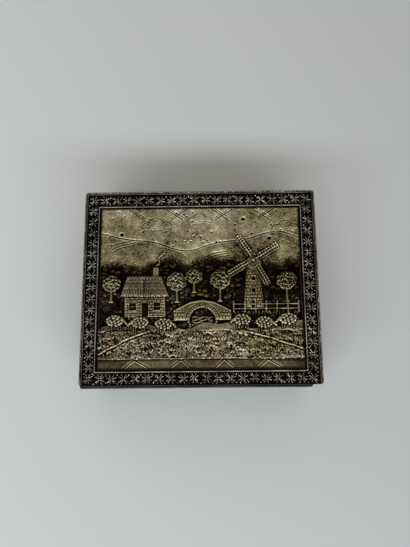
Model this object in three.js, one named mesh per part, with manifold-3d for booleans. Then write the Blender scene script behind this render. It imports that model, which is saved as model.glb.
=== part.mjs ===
// Repousse metal box: a cedar-lined wooden box clad in thin embossed plate, with a lid hinged at the back.
// The lid carries a picture plaque of a mill, a cottage, a bridge and sheep inside a border of stars.
// Millimetres. The origin is on the table under the middle of the box: +X right, +Y back, +Z up.

import * as THREE from 'three';
import { mergeVertices } from 'three/addons/utils/BufferGeometryUtils.js';
import Module from 'manifold-3d';

const wasm = await Module();
wasm.setup();

// Outside of the closed box
const lidWidth = 114.3;
const lidDepth = 95.25;
const lidTop = 44.5;

// Joint between the body and the lid: how far it lies below the lid's rim, and its gap
const lidTall = 13.35;
const jointGap = 0.3;

// Embossed plate: a thin sheet, and how far its rims and ornament stand off it
const sheetThick = 0.6;
const reliefHeight = 0.9;
const frameRelief = 0.6;

// Wooden box
const wallThick = 5.0;
const bottomThick = 4.0;
const lidBoardThick = 4.4;

// Linings and pads
const linerThick = 2.0;
const linerRise = 2.45;
const liningThick = 1.0;
const floorPadThick = 1.5;
const baizeThick = 1.0;
const baizeInset = 2.0;

// Clearance between a piece and what it fits into
const fit = 0.3;

// Border of the lid's frame: its width at the sides, the back and the front, and the mouldings along it
const borderSide = 8.55;
const borderBack = 9.225;
const borderFront = 7.725;
const rimWide = 1.7;
const grooveWide = 1.0;
const beadWide = 0.7;
const beadHeight = 0.5;
const skirtBead = 1.2;
const skirtRimDrop = 1.6;
const rimSlope = 0.7;
const starsAcross = 21;
const starsDeep = 17;
const starReach = 2.6;
const starWaist = 0.8;
const starHeight = 0.45;

// Picture plaque
const stripDepth = 4.45;
const stripHeight = 0.4;
const turfHeight = 1.0;
const skyHeight = 0.8;
const hillHeight = 1.1;
const chevronHeight = 0.75;
const chevronBar = 0.8;
const motifHeight = 1.7;

// Ornament of the side plates
const plateRim = 1.5;
const scrollBend = 17.0;
const scrollSwing = 5.2;
const stemWide = 1.2;
const scrollHeight = 0.6;
const rosetteReach = 3.4;
const leafLong = 7.0;
const leafWide = 3.0;

// Strip under the lid's front edge
const lipReach = 1.3;
const lipThick = 1.0;
const lipDrop = 3.2;
const lipShort = 4.3;
const lipRound = 1.6;

// Hinges
const hingeFromEnd = 25.15;
const leafLength = 18.0;
const leafReach = 5.4;
const leafThick = 0.8;
const barrelRadius = 1.5;
const barrelOff = 0.3;
const pinRadius = 0.55;
const pinHeadRadius = 1.1;
const pinHeadThick = 0.5;
const middleKnuckle = 5.8;
const heelReach = 2.75;
const heelDrop = 0.9;
const heelRise = 0.5;

// Hinge screws and plate nails
const screwLength = 5.0;
const screwRadius = 0.5;
const screwHeadRadius = 1.3;
const screwHeadDepth = 0.75;
const screwSlotWide = 0.3;
const screwSlotDeep = 0.3;
const screwFromEnd = 3.0;
const screwFromFace = 3.4;
const nailShank = 0.4;
const nailHeadRadius = 0.9;
const nailHeadHeight = 0.6;
const nailLength = 4.0;
const nailFromEnd = 8.0;

// Facets of round forms
const barrelSides = 16;
const smallSides = 8;
const crownSides = 12;

// Sizes that follow from those above
const jointHeight = lidTop - lidTall;
const panelWidth = lidWidth - 2 * borderSide;
const panelDepth = lidDepth - borderBack - borderFront;
const panelY = (borderFront - borderBack) / 2;
const hingeAt = lidWidth / 2 - hingeFromEnd;
const skin = sheetThick + reliefHeight;
const woodWidth = lidWidth - 2 * skin;
const woodDepth = lidDepth - 2 * skin;
const innerWidth = woodWidth - 2 * wallThick;
const innerDepth = woodDepth - 2 * wallThick;
const bodyTop = jointHeight - jointGap / 2;
const lidBottom = jointHeight + jointGap / 2;
const frameGround = lidTop - frameRelief;
const boardTop = frameGround - sheetThick;
const boardBottom = boardTop - lidBoardThick;
const bottomTop = baizeThick + bottomThick;
const linerTop = jointHeight + linerRise;
const plateHeight = bodyTop - baizeThick;
const axisY = lidDepth / 2 + barrelOff + barrelRadius;
const boreRadius = pinRadius + fit;
const screwAt = leafLength / 2 - screwFromEnd;
const screwY = lidDepth / 2 - screwFromFace;
const nailSeat = skin - sheetThick;
const nailHeight = baizeThick + plateHeight / 2;
const skirtNailHeight = (lidBottom + boardBottom) / 2;

// Finishes
const plated = new THREE.MeshStandardMaterial({ color: 0x84817a, roughness: 0.36, metalness: 1 });
const gilded = new THREE.MeshStandardMaterial({ color: 0xa8946c, roughness: 0.4, metalness: 1 });
const lipMetal = new THREE.MeshStandardMaterial({ color: 0xa8a49a, roughness: 0.3, metalness: 1 });
const brass = new THREE.MeshStandardMaterial({ color: 0xb08d4a, roughness: 0.35, metalness: 1 });
const walnut = new THREE.MeshStandardMaterial({ color: 0x5b3b24, roughness: 0.6, metalness: 0 });
const cedar = new THREE.MeshStandardMaterial({ color: 0xa8693f, roughness: 0.7, metalness: 0 });
const velvet = new THREE.MeshStandardMaterial({ color: 0x5c1e24, roughness: 0.95, metalness: 0 });
const baize = new THREE.MeshStandardMaterial({ color: 0x26402f, roughness: 0.95, metalness: 0 });

// Solids for joining and cutting

// Shared vertices merged and the empty triangles at a lathe's poles left out.
function closedGeometry(geometry) {
  const bare = geometry.clone();
  bare.deleteAttribute('normal');
  bare.deleteAttribute('uv');
  const merged = mergeVertices(bare, 1e-5);
  const corners = Array.from(merged.index.array);
  const kept = [];
  for (let first = 0; first < corners.length; first += 3) {
    const [a, b, c] = corners.slice(first, first + 3);
    if (a !== b && b !== c && c !== a) {
      kept.push(a, b, c);
    }
  }
  merged.setIndex(kept);
  return merged;
}

function solid(geometry) {
  const closed = closedGeometry(geometry);
  const vertProperties = new Float32Array(closed.attributes.position.array);
  const triVerts = new Uint32Array(closed.index.array);
  return new wasm.Manifold(new wasm.Mesh({ numProp: 3, vertProperties, triVerts }));
}

function geometryOf(manifold) {
  const made = manifold.getMesh();
  const geometry = new THREE.BufferGeometry();
  geometry.setAttribute('position', new THREE.BufferAttribute(made.vertProperties, 3));
  geometry.setIndex(new THREE.BufferAttribute(made.triVerts, 1));
  const faceted = geometry.toNonIndexed();
  faceted.computeVertexNormals();
  return faceted;
}

// A box between two corners.
function block([x0, y0, z0], [x1, y1, z1]) {
  const geometry = new THREE.BoxGeometry(x1 - x0, y1 - y0, z1 - z0);
  return geometry.translate((x0 + x1) / 2, (y0 + y1) / 2, (z0 + z1) / 2);
}

// A round bar or hole along Z from a low to a high end.
function rod(radius, low, high, sides) {
  const geometry = new THREE.CylinderGeometry(radius, radius, high - low, sides);
  return geometry.rotateX(Math.PI / 2).translate(0, 0, (low + high) / 2);
}

// A flat outline raised from a low to a high level.
function raised(points, low, high) {
  const outline = new THREE.Shape(points.map(([x, y]) => new THREE.Vector2(x, y)));
  const geometry = new THREE.ExtrudeGeometry(outline, { depth: high - low, bevelEnabled: false });
  return geometry.translate(0, 0, low);
}

function part(name, geometry, material, position = [0, 0, 0], rotation = [0, 0, 0]) {
  const mesh = new THREE.Mesh(geometry, material);
  mesh.name = name;
  mesh.position.set(...position);
  mesh.rotation.set(...rotation);
  return mesh;
}

// A wooden board between two corners, placed by its middle, less any cuts given in the box's frame.
function board(name, material, low, high, cuts = []) {
  const size = high.map((end, axis) => end - low[axis]);
  const middle = high.map((end, axis) => (end + low[axis]) / 2);
  let geometry = new THREE.BoxGeometry(...size);
  if (cuts.length > 0) {
    let wood = solid(geometry);
    for (const cut of cuts) {
      wood = wood.subtract(cut.translate(-middle[0], -middle[1], -middle[2]));
    }
    geometry = geometryOf(wood);
  }
  return part(name, geometry, material, middle);
}

// Outlines

function ellipse(x, y, reachX, reachY, sides) {
  const points = [];
  for (let k = 0; k < sides; k += 1) {
    const turn = (2 * Math.PI * (k + 0.5)) / sides;
    points.push([x + reachX * Math.cos(turn), y + reachY * Math.sin(turn)]);
  }
  return points;
}

function rectangle(x0, y0, x1, y1) {
  return [[x0, y0], [x1, y0], [x1, y1], [x0, y1]];
}

// A straight bar of even width between two points.
function bar([x0, y0], [x1, y1], wide) {
  const long = Math.hypot(x1 - x0, y1 - y0);
  const sideX = (-(y1 - y0) / long) * (wide / 2);
  const sideY = ((x1 - x0) / long) * (wide / 2);
  return [
    [x0 - sideX, y0 - sideY],
    [x1 - sideX, y1 - sideY],
    [x1 + sideX, y1 + sideY],
    [x0 + sideX, y0 + sideY],
  ];
}

// The face of the plaque below a curve, from its left edge to its right.
function below(curve, floor, steps) {
  const half = panelWidth / 2;
  const points = [[-half, floor]];
  points.push([half, floor]);
  for (let k = 0; k <= steps; k += 1) {
    const x = half - (panelWidth * k) / steps;
    points.push([x, curve(x)]);
  }
  return points;
}

// Escutcheon pins: a domed head on the sheet and a shank into the wood

function nailGeometry() {
  const profile = [
    [0, -nailLength],
    [nailShank, -nailLength + nailShank],
    [nailShank, 0],
    [nailHeadRadius, 0],
    [nailHeadRadius * 0.7, nailHeadHeight * 0.75],
    [0, nailHeadHeight],
  ];
  const turned = new THREE.LatheGeometry(profile.map(([x, y]) => new THREE.Vector2(x, y)), smallSides);
  return closedGeometry(turned.rotateX(Math.PI / 2));
}

// A nail's hole along Z, with clearance for its shank below the sheet's face and for its head above it.
function nailHole() {
  const shank = rod(nailShank + fit, -nailLength - fit, reliefHeight, smallSides);
  const head = rod(nailHeadRadius + fit, 0, reliefHeight + fit, smallSides);
  return solid(shank).add(solid(head));
}

// The four sides of the box: where each one's sheet lies, and how a piece drawn flat is turned to face out
const quarter = Math.PI / 2;
const faces = {
  front: { turn: [quarter, 0, 0], out: [0, -1], half: lidDepth / 2 - nailSeat, span: lidWidth },
  back: { turn: [quarter, Math.PI, 0], out: [0, 1], half: lidDepth / 2 - nailSeat, span: lidWidth },
  left: { turn: [quarter, -quarter, 0], out: [-1, 0], half: lidWidth / 2 - nailSeat, span: woodDepth },
  right: { turn: [quarter, quarter, 0], out: [1, 0], half: lidWidth / 2 - nailSeat, span: woodDepth },
};

// A point on a side's sheet, by its distance along the side and its height.
function onSheet(face, along, height) {
  const [outX, outY] = face.out;
  return [outX * face.half - outY * along, outY * face.half + outX * along, height];
}

function nailPlaces(face, height) {
  const along = face.span / 2 - nailFromEnd;
  return [onSheet(face, -along, height), onSheet(face, along, height)];
}

function nailCuts(face, height) {
  const turned = new THREE.Matrix4().makeRotationFromEuler(new THREE.Euler(...face.turn));
  return nailPlaces(face, height).map((place) => {
    const hole = geometryOf(nailHole()).applyMatrix4(turned);
    return solid(hole.translate(...place));
  });
}

function nails(prefix, height) {
  const made = [];
  for (const [side, face] of Object.entries(faces)) {
    nailPlaces(face, height).forEach((place, k) => {
      made.push(part(`${prefix}_${side}_${k + 1}`, nailGeometry(), brass, place, face.turn));
    });
  }
  return made;
}

// Hinges, drawn about their own pin at the joint and then set at the two places on the back

const leafFace = axisY - lidDepth / 2;
const leafFront = -(leafFace + leafReach);

// One leaf: a flat plate at the back of the joint that curls into its knuckles round the pin.
function leafGeometry(side, knuckles) {
  const flatTop = side === 'body' ? -jointGap / 2 : jointGap / 2 + leafThick;
  const flatLow = flatTop - leafThick;
  const halfLeaf = leafLength / 2;
  const clearOfFace = -(leafFace + fit);
  let leaf = solid(block([-halfLeaf, leafFront, flatLow], [halfLeaf, clearOfFace, flatTop]));
  for (const [from, to] of knuckles) {
    const root = -barrelRadius * 0.55;
    leaf = leaf.add(solid(block([from, clearOfFace - fit, flatLow], [to, root, flatTop])));
    leaf = leaf.add(solid(rod(barrelRadius, from, to, barrelSides).rotateY(Math.PI / 2)));
  }
  if (side === 'lid') {
    const [from, to] = knuckles[0];
    leaf = leaf.add(solid(block([from, barrelRadius * 0.6, -heelDrop], [to, heelReach, heelRise])));
  }
  const bore = rod(boreRadius, -halfLeaf - fit, halfLeaf + fit, barrelSides);
  leaf = leaf.subtract(solid(bore.rotateY(Math.PI / 2)));
  for (const place of [-screwAt, screwAt]) {
    leaf = leaf.subtract(screwHole(side).translate(place, screwY - axisY, 0));
  }
  return geometryOf(leaf);
}

const bodyKnuckles = [
  [-leafLength / 2, -middleKnuckle / 2 - fit],
  [middleKnuckle / 2 + fit, leafLength / 2],
];
const lidKnuckles = [[-middleKnuckle / 2, middleKnuckle / 2]];

// The hinge's pin, with a small head at each end.
function pinGeometry() {
  const inner = leafLength / 2 + fit;
  const outer = inner + pinHeadThick;
  const profile = [
    [0, -outer],
    [pinHeadRadius, -outer],
    [pinHeadRadius, -inner],
    [pinRadius, -inner],
    [pinRadius, inner],
    [pinHeadRadius, inner],
    [pinHeadRadius, outer],
    [0, outer],
  ];
  const turned = new THREE.LatheGeometry(profile.map(([x, y]) => new THREE.Vector2(x, y)), barrelSides);
  return closedGeometry(turned.rotateZ(-Math.PI / 2));
}

// A countersunk screw with its head's face at the leaf's joint face, pointing down into the body.
function screwGeometry() {
  const profile = [
    [0, -screwLength],
    [screwRadius, -screwLength + screwRadius],
    [screwRadius, -screwHeadDepth],
    [screwHeadRadius, 0],
    [0, 0],
  ];
  const turned = new THREE.LatheGeometry(profile.map(([x, y]) => new THREE.Vector2(x, y)), smallSides);
  const slotReach = screwHeadRadius + fit;
  const slot = block([-slotReach, -screwSlotWide / 2, -screwSlotDeep], [slotReach, screwSlotWide / 2, fit]);
  return geometryOf(solid(turned.rotateX(Math.PI / 2)).subtract(solid(slot)));
}

// The countersunk hole for one screw, with clearance all round, about the hinge's own pin.
function screwHole(side) {
  const profile = [
    [0, -screwLength - fit],
    [screwRadius + fit, -screwLength - fit],
    [screwRadius + fit, -screwHeadDepth],
    [screwHeadRadius + fit, 0],
    [screwHeadRadius + fit, jointGap / 2],
    [0, jointGap / 2],
  ];
  const turned = new THREE.LatheGeometry(profile.map(([x, y]) => new THREE.Vector2(x, y)), smallSides);
  turned.rotateX(side === 'body' ? Math.PI / 2 : -Math.PI / 2);
  return solid(turned.translate(0, 0, side === 'body' ? -jointGap / 2 : jointGap / 2));
}

// What one side's wood and plate lose to the two leaves and their screws.
function hingeCuts(side) {
  const flatLow = side === 'body' ? bodyTop - leafThick : lidBottom - jointGap;
  const flatTop = side === 'body' ? bodyTop + jointGap : lidBottom + leafThick;
  const cuts = [];
  for (const at of [-hingeAt, hingeAt]) {
    const half = leafLength / 2 + fit;
    const front = axisY + leafFront - fit;
    cuts.push(solid(block([at - half, front, flatLow], [at + half, lidDepth, flatTop])));
    for (const place of [-screwAt, screwAt]) {
      cuts.push(screwHole(side).translate(at + place, screwY, jointHeight));
    }
  }
  return cuts;
}

function hingePieces(side) {
  const leaf = leafGeometry(side, side === 'body' ? bodyKnuckles : lidKnuckles);
  const seat = side === 'body' ? bodyTop : lidBottom;
  const turn = side === 'body' ? [0, 0, 0] : [Math.PI, 0, 0];
  const made = [];
  for (const [end, at] of [['left', -hingeAt], ['right', hingeAt]]) {
    made.push(part(`hinge_leaf_${side}_${end}`, leaf, brass, [at, axisY, jointHeight]));
    [-screwAt, screwAt].forEach((place, k) => {
      const name = `screw_${side}_${end}_${k + 1}`;
      made.push(part(name, screwGeometry(), brass, [at + place, screwY, seat], turn));
    });
  }
  return made;
}

// Side plates: a sheet with a raised rim and a running scroll of foliage

// A wave stem along the plate, from one end of its run to the other.
function scrollStem(run) {
  const bends = Math.max(2, Math.round(run / scrollBend));
  const steps = bends * 6;
  const upper = [];
  const lower = [];
  for (let k = 0; k <= steps; k += 1) {
    const x = -run / 2 + (run * k) / steps;
    const phase = (Math.PI * bends * k) / steps;
    const y = scrollSwing * Math.sin(phase);
    const slope = (scrollSwing * Math.PI * bends * Math.cos(phase)) / run;
    const long = Math.hypot(1, slope);
    const offX = (-slope / long) * (stemWide / 2);
    const offY = (stemWide / 2) / long;
    upper.push([x + offX, y + offY]);
    lower.push([x - offX, y - offY]);
  }
  return { bends, outline: lower.concat(upper.reverse()) };
}

// A low flower: a ring of petal tips and hollows round a raised middle.
function rosette(x, y, reach, petals, low, high) {
  const corners = [];
  for (let k = 0; k < 2 * petals; k += 1) {
    const turn = (Math.PI * (k + 0.5)) / petals;
    const out = k % 2 === 0 ? reach : reach * 0.55;
    corners.push([x + out * Math.cos(turn), y + out * Math.sin(turn)]);
  }
  return pointed(corners, [x, y], low, high);
}

// A shape that rises from its outline to a point over one place inside it.
function pointed(corners, [topX, topY], low, high) {
  const foot = low - sheetThick / 3;
  const count = corners.length;
  const places = [];
  corners.forEach(([x, y]) => places.push(x, y, foot));
  corners.forEach(([x, y]) => places.push(x, y, low + (high - low) * 0.25));
  places.push(topX, topY, foot);
  places.push(topX, topY, high);
  const index = [];
  for (let k = 0; k < count; k += 1) {
    const next = (k + 1) % count;
    index.push(k, next, count + next);
    index.push(k, count + next, count + k);
    index.push(2 * count, next, k);
    index.push(2 * count + 1, count + k, count + next);
  }
  const geometry = new THREE.BufferGeometry();
  geometry.setAttribute('position', new THREE.Float32BufferAttribute(places, 3));
  geometry.setIndex(index);
  return solid(geometry);
}

// A pointed leaf that leaves the stem at one place and leans along one direction.
function leaf(x, y, turn, low, high) {
  const points = [[0, 0], [leafLong * 0.3, -leafWide / 2], [leafLong * 0.7, -leafWide * 0.3],
    [leafLong, 0], [leafLong * 0.75, leafWide * 0.35], [leafLong * 0.35, leafWide / 2]];
  const corners = points.map(([px, py]) => [
    x + px * Math.cos(turn) - py * Math.sin(turn),
    y + px * Math.sin(turn) + py * Math.cos(turn),
  ]);
  const middle = [x + leafLong * 0.45 * Math.cos(turn), y + leafLong * 0.45 * Math.sin(turn)];
  return pointed(corners, middle, low, high);
}

// One plate, drawn lying flat with its back on z = 0 and its middle at the origin.
function plateSolid(span) {
  const halfSpan = span / 2;
  const halfHeight = plateHeight / 2;
  const inSpan = halfSpan - plateRim;
  const inHeight = halfHeight - plateRim;
  const field = block([-inSpan, -inHeight, sheetThick], [inSpan, inHeight, skin + fit]);
  let plate = solid(block([-halfSpan, -halfHeight, 0], [halfSpan, halfHeight, skin])).subtract(solid(field));
  const top = sheetThick + scrollHeight;
  const run = span - 2 * (nailFromEnd + nailHeadRadius + plateRim);
  const { bends, outline } = scrollStem(run);
  plate = plate.add(solid(raised(outline, sheetThick / 2, top)));
  for (let k = 0; k < bends; k += 1) {
    const x = -run / 2 + (run * (k + 0.5)) / bends;
    const up = k % 2 === 0 ? 1 : -1;
    plate = plate.add(rosette(x, up * -scrollSwing * 0.35, rosetteReach, 6, sheetThick, top));
    if (k < bends - 1) {
      plate = plate.add(leaf(x + run / bends / 2, 0, up * -0.25 * Math.PI, sheetThick, top));
    }
  }
  return plate;
}

// A side plate turned to face out, less the nail holes and any other cuts given in the box's frame.
function sidePlate(side, cuts) {
  const face = faces[side];
  const inner = face.half - sheetThick;
  const [outX, outY] = face.out;
  const place = [outX * inner, outY * inner, baizeThick + plateHeight / 2];
  const turned = new THREE.Matrix4().makeRotationFromEuler(new THREE.Euler(...face.turn));
  const back = turned.clone().invert();
  let plate = plateSolid(face.span);
  for (const along of [-1, 1]) {
    plate = plate.subtract(nailHole().translate(along * (face.span / 2 - nailFromEnd), 0, sheetThick));
  }
  for (const cut of cuts) {
    const local = geometryOf(cut.translate(-place[0], -place[1], -place[2])).applyMatrix4(back);
    plate = plate.subtract(solid(local));
  }
  return part(`${side}_plate`, geometryOf(plate), plated, place, face.turn);
}

// Lid frame: a moulded ring round the plaque, with its skirts folded down over the lid's sides

// A corner of the ring: how far in from the outer edge, or how far out from the plaque's edge.
function ringCorner(sideX, sideY, inset, fromPlaque) {
  if (fromPlaque) {
    return [sideX * (panelWidth / 2 + inset), panelY + sideY * (panelDepth / 2 + inset)];
  }
  return [sideX * (lidWidth / 2 - inset), sideY * (lidDepth / 2 - inset)];
}

// The ring's section, point by point: inset, height, and whether the inset is from the plaque.
function frameSection() {
  const rimLow = lidTop - skirtRimDrop;
  const beadTop = frameGround + beadHeight;
  return [
    [skin, lidBottom, false],
    [0, lidBottom, false],
    [0, lidBottom + skirtBead, false],
    [nailSeat, lidBottom + skirtBead + rimSlope, false],
    [nailSeat, rimLow - rimSlope, false],
    [0, rimLow, false],
    [0, lidTop - frameRelief, false],
    [rimWide * 0.25, lidTop - frameRelief * 0.15, false],
    [rimWide * 0.55, lidTop, false],
    [rimWide * 0.85, lidTop - frameRelief * 0.35, false],
    [rimWide, frameGround, false],
    [grooveWide + beadWide, frameGround, true],
    [grooveWide + beadWide * 0.75, beadTop, true],
    [grooveWide + beadWide * 0.25, beadTop, true],
    [grooveWide, frameGround, true],
    [fit, frameGround, true],
    [fit, boardTop, true],
    [skin, boardTop, false],
  ];
}

function frameRing() {
  const section = frameSection();
  const corners = [[1, 1], [-1, 1], [-1, -1], [1, -1]];
  const places = [];
  for (const [sideX, sideY] of corners) {
    for (const [inset, height, fromPlaque] of section) {
      places.push(...ringCorner(sideX, sideY, inset, fromPlaque), height);
    }
  }
  const count = section.length;
  const index = [];
  corners.forEach((_, corner) => {
    const here = corner * count;
    const there = ((corner + 1) % corners.length) * count;
    for (let k = 0; k < count; k += 1) {
      const next = (k + 1) % count;
      index.push(here + k, there + k, there + next);
      index.push(here + k, there + next, here + next);
    }
  });
  const geometry = new THREE.BufferGeometry();
  geometry.setAttribute('position', new THREE.Float32BufferAttribute(places, 3));
  geometry.setIndex(index);
  return solid(geometry);
}

// The middles of the border's stars: rows along the front and back, and columns between them.
function starPlaces() {
  const x = (lidWidth - borderSide) / 2;
  const back = (lidDepth - borderBack) / 2;
  const front = (borderFront - lidDepth) / 2;
  const places = [];
  for (let k = 0; k < starsAcross; k += 1) {
    const along = -x + (2 * x * k) / (starsAcross - 1);
    places.push([along, back], [along, front]);
  }
  for (let k = 1; k < starsDeep - 1; k += 1) {
    const along = front + ((back - front) * k) / (starsDeep - 1);
    places.push([-x, along], [x, along]);
  }
  return places;
}

function star([x, y]) {
  const corners = [];
  for (let k = 0; k < 8; k += 1) {
    const reach = k % 2 === 0 ? starWaist : starReach;
    const turn = (Math.PI * k) / 4;
    corners.push([x + reach * Math.cos(turn), y + reach * Math.sin(turn)]);
  }
  return pointed(corners, [x, y], frameGround, frameGround + starHeight);
}

function lidFrame() {
  let frame = frameRing();
  for (const cut of hingeCuts('lid')) {
    frame = frame.subtract(cut);
  }
  for (const face of Object.values(faces)) {
    for (const cut of nailCuts(face, skirtNailHeight)) {
      frame = frame.subtract(cut);
    }
  }
  for (const place of starPlaces()) {
    frame = frame.add(star(place));
  }
  return part('lid_frame', geometryOf(frame), plated);
}

// Picture plaque, drawn about its own middle with its back on z = 0: a country scene in stepped layers

const stripEdge = -panelDepth / 2 + stripDepth;

// Places across and up the plaque, as shares of half its width and depth.
function across(share) {
  return (share * panelWidth) / 2;
}

function up(share) {
  return (share * panelDepth) / 2;
}

function turfEdge(x) {
  return up(-0.63) + 1.2 * Math.sin(x * 0.16) + 0.8 * Math.sin(x * 0.41 + 1);
}

function skylineEdge(x) {
  return up(0.19) + 2.2 * Math.sin(x * 0.09 + 0.6) + 0.9 * Math.sin(x * 0.27);
}

function hillEdge(x) {
  return up(0.4) + 3.4 * Math.sin(x * 0.075 - 1.1) + 1.0 * Math.sin(x * 0.21);
}

// A gabled cottage seen from its long side: walls, thatched roof, chimney and recessed door and windows.
function cottage(x, y) {
  const wall = rectangle(x - 10, y, x + 10, y + 11);
  const roof = [[x - 12, y + 10], [x + 12, y + 10], [x + 8.5, y + 20], [x - 8.5, y + 20]];
  const chimney = rectangle(x + 4, y + 18, x + 7, y + 24);
  const openings = [
    rectangle(x - 1.6, y + 0.6, x + 1.6, y + 7),
    rectangle(x - 7.5, y + 3.5, x - 4.3, y + 7),
    rectangle(x + 4.3, y + 3.5, x + 7.5, y + 7),
  ];
  return { solids: [[wall, 1.2], [roof, motifHeight], [chimney, 1.3]], openings };
}

// A tower mill: a tapering tower, a domed cap and four sails set askew.
function mill(x, y) {
  const hub = [x, y + 24.5];
  const tower = [[x - 5.4, y], [x + 5.4, y], [x + 3.3, y + 23], [x - 3.3, y + 23]];
  const cap = ellipse(x, y + 23, 4.1, 3.6, crownSides);
  const sails = [];
  for (let k = 0; k < 4; k += 1) {
    const turn = Math.PI * (0.17 + k / 2);
    const along = [Math.cos(turn), Math.sin(turn)];
    const tip = [hub[0] + 14 * along[0], hub[1] + 14 * along[1]];
    const heel = [hub[0] + 3 * along[0], hub[1] + 3 * along[1]];
    sails.push([bar(hub, tip, 0.9), motifHeight], [bar(heel, tip, 3.2), motifHeight - 0.3]);
  }
  return { solids: [[tower, 1.3], [cap, motifHeight - 0.2], ...sails], openings: [] };
}

function tree(x, y, crown) {
  const trunk = rectangle(x - 0.7, y - crown * 2.2, x + 0.7, y);
  return { solids: [[ellipse(x, y, crown, crown * 1.1, crownSides), 1.5], [trunk, 1.0]], openings: [] };
}

// A hump-backed bridge with one arch.
function bridge(x, y) {
  const points = [[x - 14, y], [x - 6, y]];
  for (let k = 1; k < 6; k += 1) {
    const turn = Math.PI * (1 - k / 6);
    points.push([x + 6 * Math.cos(turn), y + 6 * Math.sin(turn)]);
  }
  points.push([x + 6, y], [x + 14, y], [x + 14, y + 5], [x + 6, y + 9]);
  points.push([x, y + 10], [x - 6, y + 9], [x - 14, y + 5]);
  return { solids: [[points, 1.35]], openings: [] };
}

function sheep(x, y, facing) {
  const fleece = ellipse(x, y, 4.2, 2.7, crownSides);
  const head = ellipse(x + facing * 4.4, y + 1.2, 1.5, 1.1, smallSides);
  const legs = [-2.4, 2.4].map((step) => [rectangle(x + step - 0.5, y - 4.6, x + step + 0.5, y), 1.1]);
  return { solids: [[fleece, motifHeight], [head, 1.5], ...legs], openings: [] };
}

function fence(from, to, y) {
  const solids = [];
  const posts = 6;
  for (let k = 0; k <= posts; k += 1) {
    const x = from + ((to - from) * k) / posts;
    solids.push([rectangle(x - 0.5, y - 3, x + 0.5, y + 3), 1.2]);
  }
  solids.push([rectangle(from, y - 1.4, to, y - 0.6), 1.05], [rectangle(from, y + 0.8, to, y + 1.6), 1.05]);
  return { solids, openings: [] };
}

// The pointed arrows that stand along the plain strip at the foot of the picture.
function chevrons() {
  const low = -panelDepth / 2 + 0.4;
  const peak = stripEdge - 0.5;
  const solids = [];
  for (const x of [-0.654, -0.204, 0.214, 0.642].map(across)) {
    solids.push([bar([x - 5.6, low + 0.3], [x, peak], chevronBar), chevronHeight]);
    solids.push([bar([x, peak], [x + 5.6, low + 0.3], chevronBar), chevronHeight]);
  }
  return { solids, openings: [] };
}

// Crossed lines that hang from the picture's upper edge.
function crossings() {
  const top = panelDepth / 2 - 0.3;
  const solids = [];
  for (const x of [-0.628, -0.191, 0.247, 0.663].map(across)) {
    solids.push([bar([x - 4.6, top], [x + 1.0, top - 4.4], chevronBar), hillHeight]);
    solids.push([bar([x + 4.6, top], [x - 1.0, top - 4.4], chevronBar), hillHeight]);
  }
  return { solids, openings: [] };
}

function picture() {
  return [
    mill(across(0.53), up(-0.3)),
    cottage(across(-0.55), up(-0.38)),
    bridge(across(0.02), up(-0.43)),
    tree(across(-0.88), up(0.04), 4.4),
    tree(across(-0.23), up(0.06), 4.8),
    tree(across(-0.06), up(0.13), 4.0),
    tree(across(0.2), up(0.08), 5.0),
    tree(across(0.86), up(0.06), 4.8),
    fence(across(0.33), across(0.97), up(-0.26)),
    sheep(across(-0.84), up(-0.51), 1),
    sheep(across(-0.62), up(-0.52), -1),
    sheep(across(-0.39), up(-0.55), 1),
    sheep(across(0.39), up(-0.51), -1),
    sheep(across(0.62), up(-0.55), 1),
    sheep(across(0.84), up(-0.5), -1),
    chevrons(),
    crossings(),
  ];
}

function picturePanel() {
  const half = panelWidth / 2;
  const top = panelDepth / 2;
  const middle = sheetThick / 2;
  const above = (curve) => below(curve, top, 24).reverse();
  let plaque = solid(block([-half, -top, 0], [half, top, sheetThick]));
  const layers = [
    [rectangle(-half, -top, half, stripEdge), stripHeight],
    [below(turfEdge, stripEdge, 24), turfHeight],
    [above(skylineEdge), hillHeight - 0.2],
  ];
  for (const [outline, height] of layers) {
    plaque = plaque.add(solid(raised(outline, middle, sheetThick + height)));
  }
  const sky = raised(above(hillEdge), sheetThick + skyHeight, sheetThick + hillHeight);
  plaque = plaque.subtract(solid(sky));
  const motifs = picture();
  for (const { solids } of motifs) {
    for (const [outline, height] of solids) {
      plaque = plaque.add(solid(raised(outline, middle, sheetThick + height)));
    }
  }
  for (const { openings } of motifs) {
    for (const outline of openings) {
      plaque = plaque.subtract(solid(raised(outline, sheetThick + 0.5, sheetThick + 2 * motifHeight)));
    }
  }
  const inside = solid(block([-half, -top, 0], [half, top, sheetThick + 2 * motifHeight]));
  return part('picture_panel', geometryOf(plaque.intersect(inside)), gilded, [0, panelY, boardTop]);
}

// The strip under the lid's front edge, seen from above: square at the left, rounded at the right.
function fingerLip() {
  const root = -(lidDepth / 2 - nailSeat);
  const front = -(lidDepth / 2 + lipReach);
  const left = -lidWidth / 2;
  const right = lidWidth / 2 - lipShort;
  const points = [[left, root], [left, front]];
  for (let k = 0; k <= 4; k += 1) {
    const turn = (Math.PI / 8) * k;
    points.push([right - lipRound + lipRound * Math.sin(turn), front + lipRound - lipRound * Math.cos(turn)]);
  }
  points.push([right, root]);
  const high = lidTop - lipDrop;
  return part('finger_lip', closedGeometry(raised(points, high - lipThick, high)), lipMetal);
}

// Body of the box

// Four boards round an opening, butted at the corners, between two heights.
function boardsRound(names, openWidth, openDepth, low, high, nailCutHeight, backCuts) {
  const halfWidth = woodWidth / 2;
  const halfDepth = woodDepth / 2;
  const cut = (side) => nailCuts(faces[side], nailCutHeight);
  const places = {
    front: [[-halfWidth, -halfDepth, low], [halfWidth, -openDepth, high], cut('front')],
    back: [[-halfWidth, openDepth, low], [halfWidth, halfDepth, high], cut('back').concat(backCuts)],
    left: [[-halfWidth, -openDepth, low], [-openWidth, openDepth, high], cut('left')],
    right: [[openWidth, -openDepth, low], [halfWidth, openDepth, high], cut('right')],
  };
  return Object.entries(places).map(([side, place]) => board(names(side), walnut, ...place));
}

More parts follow.
